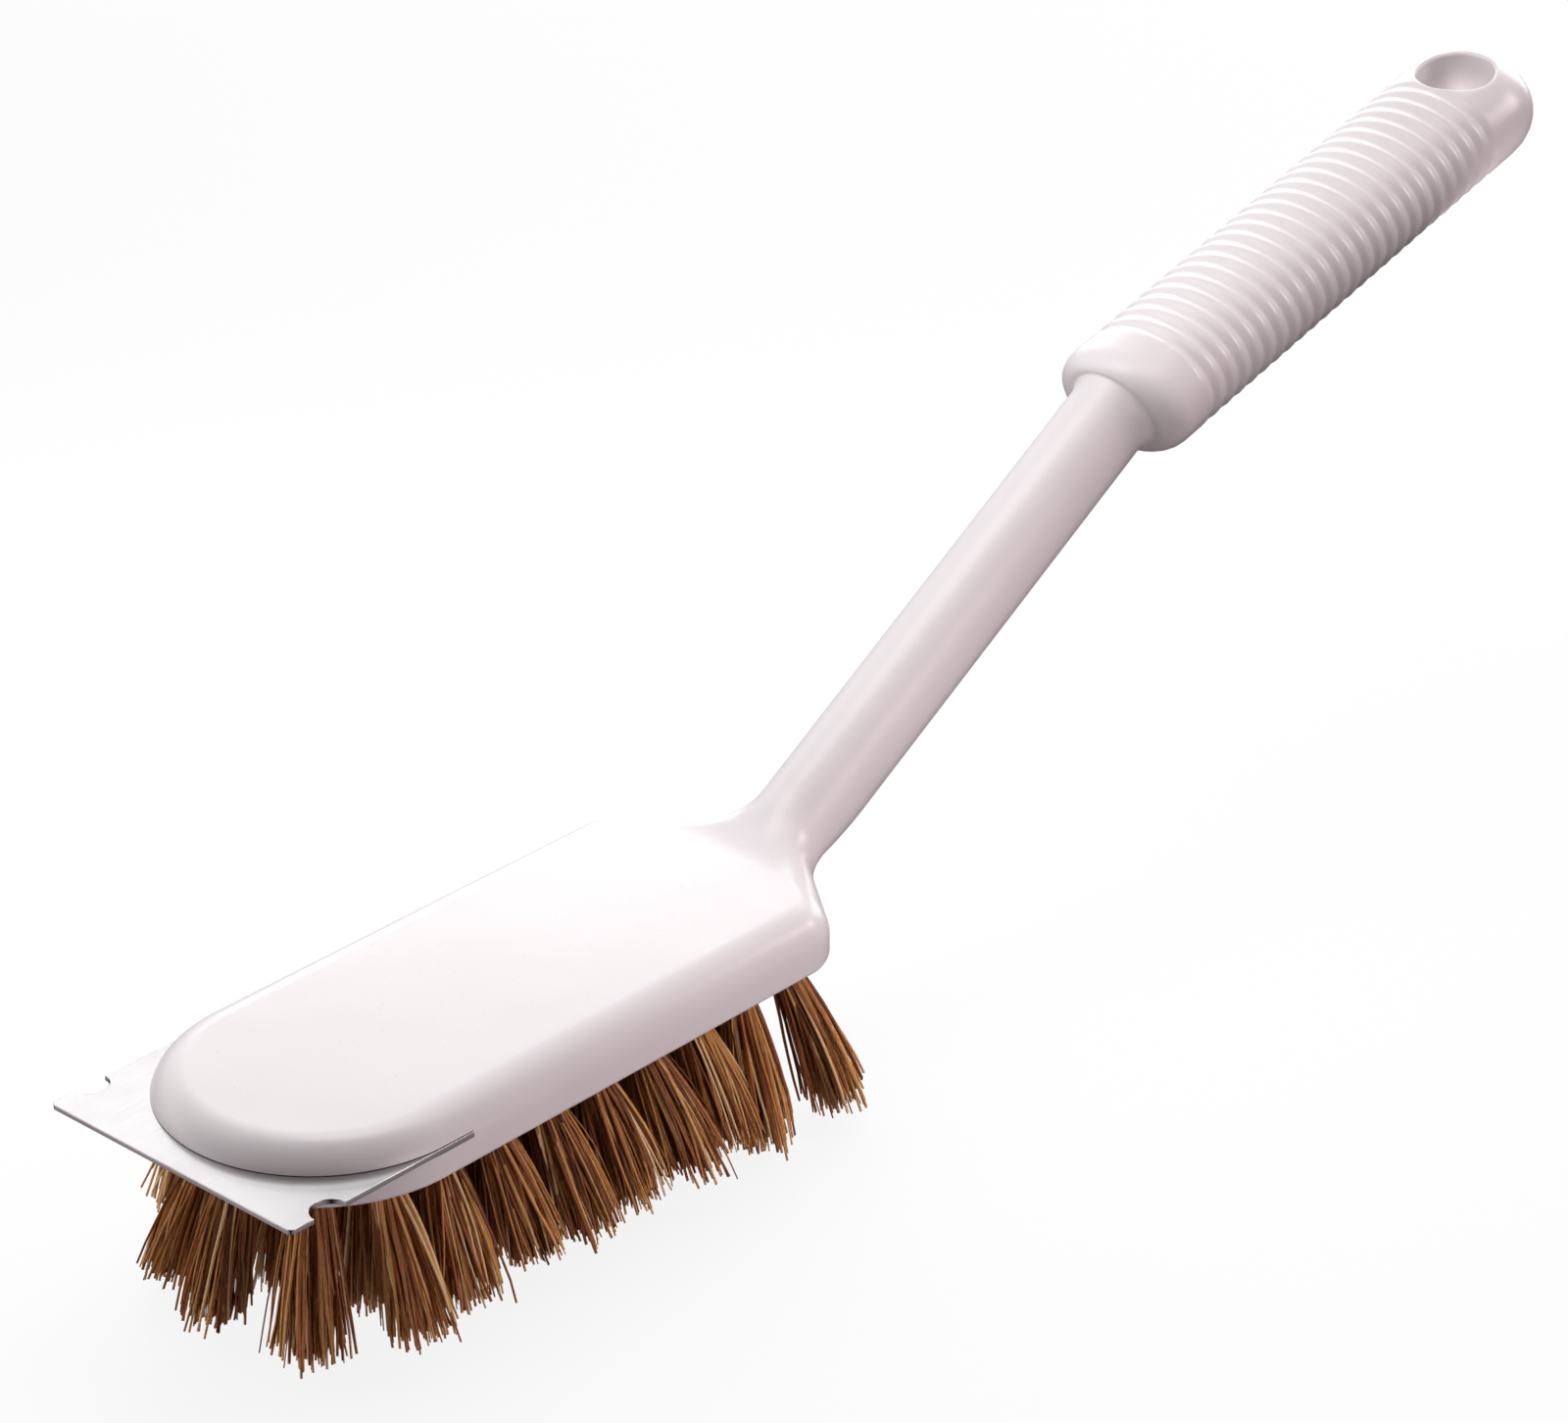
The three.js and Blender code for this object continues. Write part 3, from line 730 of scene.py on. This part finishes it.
def cut_hang_hole(piece, lines):
    """The hang hole through the end of the grip, with both rims rounded."""
    body = lines.body
    centre, slope = lines.spine(lines.grip_end - body.hang_hole_inset)
    along = Vector((math.cos(slope), 0, math.sin(slope)))
    up = Vector((-math.sin(slope), 0, math.cos(slope)))
    hole, rim = body.hang_hole_diameter / 2, body.hang_hole_rim
    cutter = bmesh.new()
    bar(cutter, centre, up, hole + rim, HANG_HOLE_BAR, HANG_HOLE_SIDES)
    cut_away(piece, cutter)

    skin = bmesh.new()
    skin.from_mesh(piece.data)

    def polar(vert):
        """Turn round the axis of the hole, height along it and offset from it."""
        offset = vert.co - centre
        height = offset.dot(up)
        flat = offset - up * height
        return math.atan2(flat.y, flat.dot(along)), height, flat

    def turn_of(vert):
        return polar(vert)[0]

    def open_edge():
        return {vert for line in skin.edges if line.is_boundary for vert in line.verts}

    wall = []
    for face in skin.faces:
        on_wall = all(abs(polar(vert)[2].length - hole - rim) < WALL_MARGIN for vert in face.verts)
        if on_wall and abs(face.normal.dot(up)) < WALL_TILT:
            wall.append(face)
    bmesh.ops.delete(skin, geom=wall, context="FACES")
    bmesh.ops.remove_doubles(skin, verts=list(open_edge()), dist=WALL_MARGIN / 2)
    edge = open_edge()
    rings = []
    for side in (1, -1):
        rim_edge = sorted((vert for vert in edge if polar(vert)[1] * side > 0), key=turn_of)
        outer = rim_edge
        for turn in quarter_turn(RIM_STEPS):
            inner = []
            for vert in rim_edge:
                _, height, flat = polar(vert)
                across = flat.normalized() * (hole + rim * (1 - math.sin(turn)))
                sunk = height - side * rim * (1 - math.cos(turn))
                inner.append(skin.verts.new(centre + across + up * sunk))
            for i, vert in enumerate(outer):
                after = (i + 1) % len(outer)
                skin.faces.new((vert, outer[after], inner[after], inner[i]))
            outer = inner
        rings.append(outer)
    zip_rings(skin, rings, turn_of)
    bmesh.ops.recalc_face_normals(skin, faces=skin.faces)
    skin.to_mesh(piece.data)
    skin.free()


def zip_rings(skin, rings, turn_of):
    """Closes the wall between two rings of points that are sorted by their turn."""
    top, bottom = rings
    top_turns = [turn_of(vert) for vert in top]
    bottom_turns = [turn_of(vert) for vert in bottom]
    top_turns.append(top_turns[0] + 2 * math.pi)
    bottom_turns.append(bottom_turns[0] + 2 * math.pi)
    i = j = 0
    while i < len(top) or j < len(bottom):
        step_top = j == len(bottom) or (i < len(top) and top_turns[i + 1] <= bottom_turns[j + 1])
        a, b = top[i % len(top)], bottom[j % len(bottom)]
        if step_top:
            skin.faces.new((a, top[(i + 1) % len(top)], b))
            i += 1
        else:
            skin.faces.new((a, bottom[(j + 1) % len(bottom)], b))
            j += 1


class GRILLBRUSH_OT_moulded_body(Operator):
    """Make the white moulded body with its slot, tuft holes and hang hole"""
    bl_idname = "grill_brush.moulded_body"
    bl_label = "Moulded body"

    def execute(self, context):
        brush = context.scene.grill_brush
        lines = BodyLines(brush.body)
        piece = new_piece("moulded_body", body_blank(lines))
        cut_hang_hole(piece, lines)
        cut_head(piece, brush)
        piece.data.materials.clear()
        piece.data.materials.append(white_plastic(brush.body))
        piece.data.transform(Matrix.Translation(NOSE_AND_SOLE))
        smooth_but_edges(piece.data, BODY_EDGE_ANGLE)
        settle(piece, "white_plastic", "brush_body")
        return {"FINISHED"}


def arc(centre, radius, start, end, count):
    """Points of an arc, both ends among them."""
    turns = [lerp(start, end, i / count) for i in range(count + 1)]
    return [(centre[0] + radius * math.cos(turn), centre[1] + radius * math.sin(turn)) for turn in turns]


def blade_outline(brush):
    """Outline of the blade and of its two pin holes, seen from above."""
    blade = brush.blade
    side = brush.body.head_width / 2
    front = -blade.blade_reach
    back = front + blade.blade_length
    notch_x = front + blade.notch_setback
    notch, corner = blade.notch_diameter / 2, blade.corner_radius
    half_turn = math.pi
    outline = [(back, -side), (back, side)]
    outline += arc((notch_x, side), notch, 0, -half_turn, NOTCH_STEPS)
    outline += arc((front + corner, side - corner), corner, 0.5 * half_turn, half_turn, CORNER_STEPS)
    outline += arc((front + corner, corner - side), corner, half_turn, 1.5 * half_turn, CORNER_STEPS)
    outline += arc((notch_x, -side), notch, half_turn, 0, NOTCH_STEPS)
    pin = blade.pin_diameter / 2 + FITTING_GAP
    last = PIN_SIDES - 1
    last_turn = 2 * half_turn * last / PIN_SIDES
    return [outline] + [arc(place, pin, 0, last_turn, last) for place in pin_places(brush)]


class GRILLBRUSH_OT_scraper_blade(Operator):
    """Make the steel scraper blade with its two rod notches"""
    bl_idname = "grill_brush.scraper_blade"
    bl_label = "Scraper blade"

    def execute(self, context):
        brush = context.scene.grill_brush
        blade = brush.blade
        outline = bpy.data.curves.new("scraper_outline", "CURVE")
        outline.dimensions = "2D"
        outline.fill_mode = "BOTH"
        outline.extrude = blade.blade_thickness / 2 - blade.edge_break
        outline.bevel_depth = blade.edge_break
        outline.bevel_resolution = 2
        outline.offset = -blade.edge_break
        for points in blade_outline(brush):
            spline = outline.splines.new("POLY")
            spline.points.add(len(points) - 1)
            for point, (x, y) in zip(spline.points, points):
                point.co = (x, y, 0, 1)
            spline.use_cyclic_u = True
        flat = new_piece("scraper_outline", outline)
        mesh = evaluated_mesh(flat)
        bpy.data.objects.remove(flat)
        bpy.data.curves.remove(outline)
        sheet = bmesh.new()
        sheet.from_mesh(mesh)
        bmesh.ops.remove_doubles(sheet, verts=sheet.verts, dist=WELD)
        bmesh.ops.recalc_face_normals(sheet, faces=sheet.faces)
        sheet.to_mesh(mesh)
        sheet.free()
        mesh.name = "scraper"
        middle = Vector((0, 0, blade.blade_height + blade.blade_thickness / 2))
        mesh.transform(Matrix.Translation(NOSE_AND_SOLE + middle))
        mesh.materials.clear()
        piece = new_piece("scraper", mesh, [brushed_steel("blade_steel", blade.steel, BLADE_ROUGHNESS)])
        smooth_but_edges(mesh, BLADE_EDGE_ANGLE)
        for face in mesh.polygons:
            is_level = abs(face.normal.z) > 0.999
            face.use_smooth = not is_level
        settle(piece, "blade_steel", "scraper_blade")
        return {"FINISHED"}


TUFT_INPUTS = {
    "NodeSocketGeometry": ["Geometry"],
    "NodeSocketInt": ["Fibres", "Locks", "Seed"],
    "NodeSocketFloat": ["Tuft Diameter", "Root Depth", "Fibre Length", "Fibre Diameter", "Fan", "Gather",
                        "Stray", "Wave", "Tip Scatter"],
    "NodeSocketMaterial": ["Material"],
}

QUARTERS = ("front_left", "front_right", "rear_left", "rear_right")

# Values that a fibre carries while it grows. Only its tone and the way along it stay, for the material.
GROWING_VALUES = ("number", "lock", "middle", "spread", "astray", "drop", "bow", "thick", "root", "tip",
                  "reach", "shade")

# Points along one fibre, its sides, and how much thinner it is at its tip.
FIBRE_POINTS = 8
FIBRE_SIDES = 3
FIBRE_TAPER = 0.35

# Chance lean of a tuft along and across the head.
CHANCE_LEAN = (0.0028, 0.0014)

# Range of a tuft's reach, as a part of the fibre length, and how much earlier the outer and front tufts end.
TUFT_REACH = (0.94, 1.0)
OUTER_CUT = 0.15
FRONT_CUT = 0.075

# Where the outer rows, the last tufts and the front tufts start and are fully in effect.
OUTER_ROWS = (0.014, 0.021)
LAST_TUFTS = (0.097, 0.107)
FRONT_TUFTS = (0.012, 0.030)

# Tone of a tuft, its chance part, and a painted light: how much paler the tufts at the far side of the nose
# are where light falls on them, and where.
TUFT_TONE = 0.45
CHANCE_TONE = 0.08
PAINTED_LIGHT_TONE = 0.28
PAINTED_LIGHT_ACROSS = (-0.01, 0.03)
PAINTED_LIGHT_ALONG = (0.01, 0.05)


def tuft_nodes():
    """Geometry nodes that grow a bundle of fanned fibres from every tuft point."""
    tree = bpy.data.node_groups.new("palm_fibre_tufts", "GeometryNodeTree")
    tree.interface.new_socket("Geometry", in_out="OUTPUT", socket_type="NodeSocketGeometry")
    for kind, names in TUFT_INPUTS.items():
        for name in names:
            tree.interface.new_socket(name, in_out="INPUT", socket_type=kind)
    board = NodeBoard(tree)
    inputs = tree.nodes.new("NodeGroupInput").outputs
    given = {name: Socket(board, inputs[name]) for names in TUFT_INPUTS.values() for name in names}
    whole_turn = 2 * math.pi

    def chance(number, low=0.0, high=1.0, alike=None):
        """A chance value for each fibre, or the same one for all that are alike."""
        sockets = {"Min": low, "Max": high, "Seed": given["Seed"] * 17 + number}
        if alike is not None:
            sockets["ID"] = alike
        return board.node("FunctionNodeRandomValue", {"data_type": "FLOAT"}, sockets, "Value")

    def note(geometry, name, value):
        kind = "FLOAT_VECTOR" if value.is_vector else "FLOAT"
        sockets = {"Geometry": geometry, "Name": name, "Value": value}
        return board.node("GeometryNodeStoreNamedAttribute", {"data_type": kind, "domain": "POINT"}, sockets)

    def noted(name, kind="FLOAT"):
        return board.node("GeometryNodeInputNamedAttribute", {"data_type": kind}, {"Name": name}, "Attribute")

    def noted_vector(name):
        return noted(name, "FLOAT_VECTOR")

    def flat_vector(x, y):
        return board.node("ShaderNodeCombineXYZ", None, {"X": x, "Y": y})

    def round_about(out, turn):
        """A flat vector from its length and direction."""
        parts = [board.node("ShaderNodeMath", {"operation": part}, {0: turn}) for part in ("COSINE", "SINE")]
        return flat_vector(out * parts[0], out * parts[1])

    fibres = board.node("GeometryNodeDuplicateElements", {"domain": "POINT"},
                        {"Geometry": given["Geometry"], "Amount": given["Fibres"]}, "Geometry")
    place_in_tuft = Socket(board, fibres.socket.node.outputs["Duplicate Index"])
    lock = noted("lock")
    root = given["Tuft Diameter"] * 0.5
    # A few fibres, and some whole locks, fall short of the others.
    short = chance(5) ** 3 * 0.9 + chance(13, alike=lock) ** 2 * 0.6
    # The tone of the tuft, then of the lock and of the fibre, with a few pale fibres.
    tone = noted("shade") + chance(14, -0.12, 0.12, lock) + chance(9, -0.36, 0.36) + chance(10) ** 8 * 0.5
    values = {
        "lock": noted("number") * 64 + board.sum("MODULO", place_in_tuft, given["Locks"]),
        "middle": round_about(root * chance(12, alike=lock) ** 0.5, chance(11, 0.0, whole_turn, lock)),
        "spread": round_about(root * chance(2) ** 0.5, chance(1, 0.0, whole_turn)),
        "astray": round_about(given["Stray"] * chance(3) ** 3, chance(4, 0.0, whole_turn)),
        "drop": noted("reach") * (1 - given["Tip Scatter"] * short),
        "bow": flat_vector(chance(6, -1.0, 1.0), chance(7, -1.0, 1.0)) * given["Wave"],
        "thick": chance(8, 0.6, 1.45),
        "tone": tone,
        "root": board.node("GeometryNodeInputPosition"),
    }
    for name, value in values.items():
        fibres = note(fibres, name, value)

    line = board.node("GeometryNodeCurvePrimitiveLine", None, {"End": (0, 0, -0.01)})
    line = board.node("GeometryNodeResampleCurve", None, {"Curve": line, "Count": FIBRE_POINTS})
    fibres = board.node("GeometryNodeInstanceOnPoints", None, {"Points": fibres, "Instance": line})
    fibres = board.node("GeometryNodeRealizeInstances", None, {"Geometry": fibres})

    along = board.node("GeometryNodeSplineParameter", None, None, "Factor")
    hidden = given["Root Depth"]
    whole = hidden + given["Fibre Length"] * noted("drop")
    below = board.node("ShaderNodeClamp", None, {"Value": (along * whole - hidden) / (whole - hidden)})
    ease = below * (1.25 - below * 0.25)
    wander = 4 * below * (1 - below)
    own_path = {"X": noted("tone") * 91, "Y": noted("thick") * 77, "Z": below * 2.2}
    swing = board.noise(board.node("ShaderNodeCombineXYZ", None, own_path), 1.0, 1.0, "Color")
    swing = (swing - flat_vector(0.5, 0.5)) * given["Wave"] * below * 3
    gather = given["Gather"] * ease
    sideways = noted_vector("spread") * (1 - gather) + noted_vector("middle") * gather
    sideways = sideways * (1 + (given["Fan"] - 1) * ease)
    sideways = sideways + noted_vector("tip") * ease + noted_vector("astray") * ease
    sideways = sideways + noted_vector("bow") * wander + swing * flat_vector(1.0, 1.0)
    height = board.node("ShaderNodeCombineXYZ", None, {"Z": hidden - along * whole})
    place = noted_vector("root") + sideways + height
    fibres = board.node("GeometryNodeSetPosition", None, {"Geometry": fibres, "Position": place})
    fibres = note(fibres, "along", below)
    radius = given["Fibre Diameter"] * 0.5 * noted("thick") * (1 - below * FIBRE_TAPER)
    profile = board.node("GeometryNodeCurvePrimitiveCircle", None, {"Resolution": FIBRE_SIDES, "Radius": 1.0})
    fibres = board.node("GeometryNodeCurveToMesh", None,
                        {"Curve": fibres, "Profile Curve": profile, "Scale": radius, "Fill Caps": True})
    fibres = board.node("GeometryNodeSetShadeSmooth", None, {"Geometry": fibres, "Shade Smooth": True})
    fibres = board.node("GeometryNodeRealizeInstances", None, {"Geometry": fibres})
    fibres = board.node("GeometryNodeSetMaterial", None, {"Geometry": fibres, "Material": given["Material"]})
    board.node("NodeGroupOutput", None, {"Geometry": fibres})
    return tree


def tuft_points(brush, field, name):
    """A mesh of tuft roots with the place, reach and shade that each tuft has at its tips."""
    body, tufts = brush.body, brush.tufts
    middle = body.head_width / 2 + body.side_length / 2
    mesh = bpy.data.meshes.new(name)
    mesh.from_pydata([NOSE_AND_SOLE + Vector((x, y, 0)) for x, y, _, _ in field], [], [])
    nose = body.head_width / 2
    tips, reaches, shades = [], [], []
    for x, y, column, _ in field:
        own = random.Random(1000 * column + round(y * 1e4))
        splay = tufts.nose_splay * smoothstep(nose - x, nose / 6, nose / 2)
        out = Vector((min(x - nose, 0), y)).normalized() * splay
        chance_x, chance_y = (own.uniform(-lean, lean) for lean in CHANCE_LEAN)
        lean_x = (x - middle) * (tufts.lean_along - 1) + tufts.tip_drag + out.x + chance_x
        lean_y = y * (tufts.lean_across - 1) + out.y + chance_y
        tips += (lean_x, lean_y, 0)
        outer = smoothstep(abs(y), *OUTER_ROWS) * (1 - smoothstep(x, *LAST_TUFTS))
        front = 1 - smoothstep(x, *FRONT_TUFTS)
        reaches.append(own.uniform(*TUFT_REACH) - max(OUTER_CUT * outer, FRONT_CUT * front))
        # Painted light: the front tufts at the far side of the nose get a paler tone where light falls on
        # them.
        painted_light = smoothstep(y, *PAINTED_LIGHT_ACROSS) * (1 - smoothstep(x, *PAINTED_LIGHT_ALONG))
        shades.append(TUFT_TONE + own.uniform(-CHANCE_TONE, CHANCE_TONE) + PAINTED_LIGHT_TONE * painted_light)
    mesh.attributes.new("tip", "FLOAT_VECTOR", "POINT").data.foreach_set("vector", tips)
    for name, values in (("reach", reaches), ("shade", shades), ("number", range(len(field)))):
        mesh.attributes.new(name, "FLOAT", "POINT").data.foreach_set("value", list(values))
    return mesh


class GRILLBRUSH_OT_palm_fibres(Operator):
    """Grow the palm-fibre tufts in the four quarters of the sole"""
    bl_idname = "grill_brush.palm_fibres"
    bl_label = "Palm fibres"

    def execute(self, context):
        brush = context.scene.grill_brush
        tufts = brush.tufts
        field = tuft_field(brush)
        last = max(column for _, _, column, _ in field)
        length_cut = tufts.first_tuft + (math.ceil((last + 1) / 2) - 0.5) * tufts.tuft_pitch / 2
        width_cut = (tufts.row_count % 2) * row_pitch(brush) / 2
        tree = tuft_nodes()
        values = {
            "Fibres": tufts.fibres,
            "Locks": tufts.locks,
            "Tuft Diameter": tufts.tuft_diameter,
            "Root Depth": tufts.root_depth,
            "Fibre Length": tufts.fibre_length,
            "Fibre Diameter": tufts.fibre_diameter,
            "Fan": tufts.fan,
            "Gather": tufts.gather,
            "Stray": tufts.stray,
            "Wave": tufts.wave,
            "Tip Scatter": tufts.tip_scatter,
            "Material": palm_fibre(tufts),
        }
        sockets = [item for item in tree.interface.items_tree if item.in_out == "INPUT"]
        identifiers = {socket.name: socket.identifier for socket in sockets}
        for seed, quarter in enumerate(QUARTERS, 1):
            rear, left = quarter.startswith("rear"), quarter.endswith("left")
            own = [tuft for tuft in field if (tuft[0] > length_cut) == rear and (tuft[1] > width_cut) == left]
            piece = new_piece("fibres_" + quarter, tuft_points(brush, own, "fibres_" + quarter))
            grow = piece.modifiers.new("grow", "NODES")
            grow.node_group = tree
            for name, value in {**values, "Seed": seed}.items():
                grow[identifiers[name]] = value
            grown = evaluated_mesh(piece)
            piece.modifiers.clear()
            points = piece.data
            piece.data = grown
            bpy.data.meshes.remove(points)
            grown.name = piece.name
            for name in GROWING_VALUES:
                if name in grown.attributes:
                    grown.attributes.remove(grown.attributes[name])
            settle(piece, "palm_fibre", "bristles_" + quarter)
        return {"FINISHED"}


class GRILLBRUSH_OT_wire_fittings(Operator):
    """Give the tuft anchors and blade pins their steel"""
    bl_idname = "grill_brush.wire_fittings"
    bl_label = "Anchors and pins"

    def execute(self, context):
        steel = brushed_steel("wire_steel", context.scene.grill_brush.blade.wire, WIRE_ROUGHNESS)
        for name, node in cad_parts.items():
            if name.startswith(("tuft_anchor_", "blade_pin_")):
                node.data.materials.clear()
                node.data.materials.append(steel)
        return {"FINISHED"}


def softbox(studio, name, place, target, width, height, watts, spread, is_fill):
    """A soft square light that faces its target."""
    light = bpy.data.lights.new(name, "AREA")
    light.color = studio.fill_tint if is_fill else studio.key_tint
    light.shape = "RECTANGLE"
    light.size = width
    light.size_y = height
    light.energy = watts
    light.spread = math.radians(spread)
    lamp = bpy.data.objects.new(name, light)
    bpy.context.scene.collection.objects.link(lamp)
    place, target = Vector(place), Vector(target)
    turn = (target - place).to_track_quat("-Z", "Y").to_matrix().to_4x4()
    lamp.matrix_world = Matrix.Translation(place) @ turn
    lamp.visible_camera = False


FLOOR_SIDE = 16

# Soft patches of a light tent: turn from +x towards +y and rise in degrees, the cosine at which a patch has
# faded out, its strength and whether it fills the shade.
TENT_PATCHES = (
    (60, 50, 0.50, 0.324, False),
    (180, 50, 0.50, 0.24, True),
    (30, 20, 0.64, 0.449, False),
    (60, 20, 0.64, 0.103, False),
    (120, 20, 0.64, 0.196, True),
    (285, -25, 0.50, 0.386, True),
    (145, -25, 0.50, 0.50, True),
)

# Cosine within which a patch has its full strength.
PATCH_CORE = 0.985

# Name, place, target, width and height in metres, watts, spread in degrees and whether it fills the shade.
SOFTBOXES = (
    ("back_panel", (1.675, 0.966, 0.545), (0, 0, 0.03), 2.1, 1.155, 23.6, 180, False),
    ("behind_grip", (0.50, -0.30, 0.40), (0.12, 0, 0.115), 0.20, 0.20, 1.05, 180, True),
    ("wall_fill", (-0.11, -0.30, 0.04), (-0.10, -0.03, 0.037), 0.15, 0.15, 0.056, 90, True),
    ("low_fill", (-0.02, -0.36, 0.005), (-0.08, -0.02, 0.008), 0.20, 0.06, 0.030, 90, True),
    ("front_low", (-0.42, 0.14, 0.005), (-0.17, 0, 0.012), 0.20, 0.08, 0.080, 120, False),
    ("neck_fill", (0.00, -0.20, 0.15), (-0.01, 0, 0.070), 0.12, 0.12, 0.014, 60, True),
    ("far_side", (-0.113, 0.231, 0.25), (-0.06, 0, 0.06), 0.36, 0.36, 0.36, 180, False),
    ("left_fill", (-0.32, 0.30, 0.06), (-0.17, 0.01, 0.0), 0.20, 0.20, 0.055, 120, False),
    ("over_shank", (-0.02, 0.08, 0.36), (0.03, 0, 0.09), 0.15, 0.15, 0.23, 180, False),
    ("over_grip", (0.10, -0.05, 0.40), (0.12, 0, 0.115), 0.15, 0.15, 0.18, 180, True),
    ("over_head", (-0.02, 0.10, 0.35), (-0.1, 0, 0.043), 0.25, 0.25, 0.10, 180, False),
    ("under_hang_hole", (0.1515, -0.02, 0.0857), (0.174, 0, 0.1257), 0.03, 0.03, 0.0022, 36, True),
)


def tent_light(world, studio):
    """Lights the scene with the soft patches of a tent."""
    world.use_nodes = True
    board = NodeBoard(world.node_tree)
    direction = board.node("ShaderNodeTexCoord", None, None, "Generated")
    light = None
    for turn, rise, edge, strength, is_fill in TENT_PATCHES:
        turn, rise = math.radians(turn), math.radians(rise)
        axis = (math.cos(turn) * math.cos(rise), math.sin(turn) * math.cos(rise), math.sin(rise))
        toward = board.node("ShaderNodeVectorMath", {"operation": "DOT_PRODUCT"}, {0: direction, 1: axis},
                            "Value")
        patch = board.node("ShaderNodeMapRange", {"interpolation_type": "SMOOTHSTEP"},
                           {"Value": toward, "From Min": edge, "From Max": PATCH_CORE})
        tint = studio.fill_tint if is_fill else studio.key_tint
        glow = board.node("ShaderNodeCombineXYZ", None, dict(zip("XYZ", tint))) * (patch * strength)
        light = glow if light is None else light + glow
    background = board.node("ShaderNodeBackground", None, {"Color": light})
    board.node("ShaderNodeOutputWorld", None, {"Surface": background})


class GRILLBRUSH_OT_studio(Operator):
    """Set up the floor, the soft light and the camera"""
    bl_idname = "grill_brush.studio"
    bl_label = "Studio"

    def execute(self, context):
        studio = context.scene.grill_brush.studio
        mesh = bpy.data.meshes.new("studio_floor")
        half = FLOOR_SIDE / 2
        corners = [(-half, -half, 0), (half, -half, 0), (half, half, 0), (-half, half, 0)]
        mesh.from_pydata(corners, [], [(0, 1, 2, 3)])
        floor = new_piece("studio_floor", mesh, [studio_floor(studio)])
        floor.visible_diffuse = False
        floor.visible_glossy = False

        world = bpy.data.worlds.new("studio_light")
        context.scene.world = world
        tent_light(world, studio)
        for values in SOFTBOXES:
            softbox(studio, *values)

        lens = bpy.data.cameras.new("studio_camera")
        lens.sensor_fit = "HORIZONTAL"
        lens.sensor_width = 36
        lens.lens = studio.lens
        lens.clip_start = 0.01
        camera = bpy.data.objects.new("studio_camera", lens)
        context.scene.collection.objects.link(camera)
        turn = Matrix.Rotation(studio.azimuth, 4, "Z")
        turn @= Matrix.Rotation(math.pi / 2 - studio.elevation, 4, "X")
        turn @= Matrix.Rotation(studio.roll, 4, "Z")
        camera.matrix_world = Matrix.Translation(Vector(studio.place)) @ turn
        context.scene.camera = camera
        context.scene.view_settings.view_transform = "Standard"
        return {"FINISHED"}


STEPS = (
    GRILLBRUSH_OT_moulded_body,
    GRILLBRUSH_OT_scraper_blade,
    GRILLBRUSH_OT_palm_fibres,
    GRILLBRUSH_OT_wire_fittings,
    GRILLBRUSH_OT_studio,
)


class GRILLBRUSH_PT_pieces(Panel):
    """Lists the pieces of the brush and the studio"""
    bl_label = "Grill brush"
    bl_idname = "GRILLBRUSH_PT_pieces"
    bl_space_type = "VIEW_3D"
    bl_region_type = "UI"
    bl_category = "Grill brush"

    def draw(self, context):
        for step in STEPS:
            self.layout.operator(step.bl_idname)


CLASSES = (BodySizes, BladeSizes, TuftSizes, StudioSizes, BrushSettings, *STEPS, GRILLBRUSH_PT_pieces)


def register():
    for each in CLASSES:
        bpy.utils.register_class(each)
    bpy.types.Scene.grill_brush = PointerProperty(type=BrushSettings)


def unregister():
    del bpy.types.Scene.grill_brush
    for each in reversed(CLASSES):
        bpy.utils.unregister_class(each)


def main():
    register()
    bpy.ops.grill_brush.moulded_body()
    bpy.ops.grill_brush.scraper_blade()
    bpy.ops.grill_brush.palm_fibres()
    bpy.ops.grill_brush.wire_fittings()
    bpy.ops.grill_brush.studio()


if __name__ == "__main__":
    main()
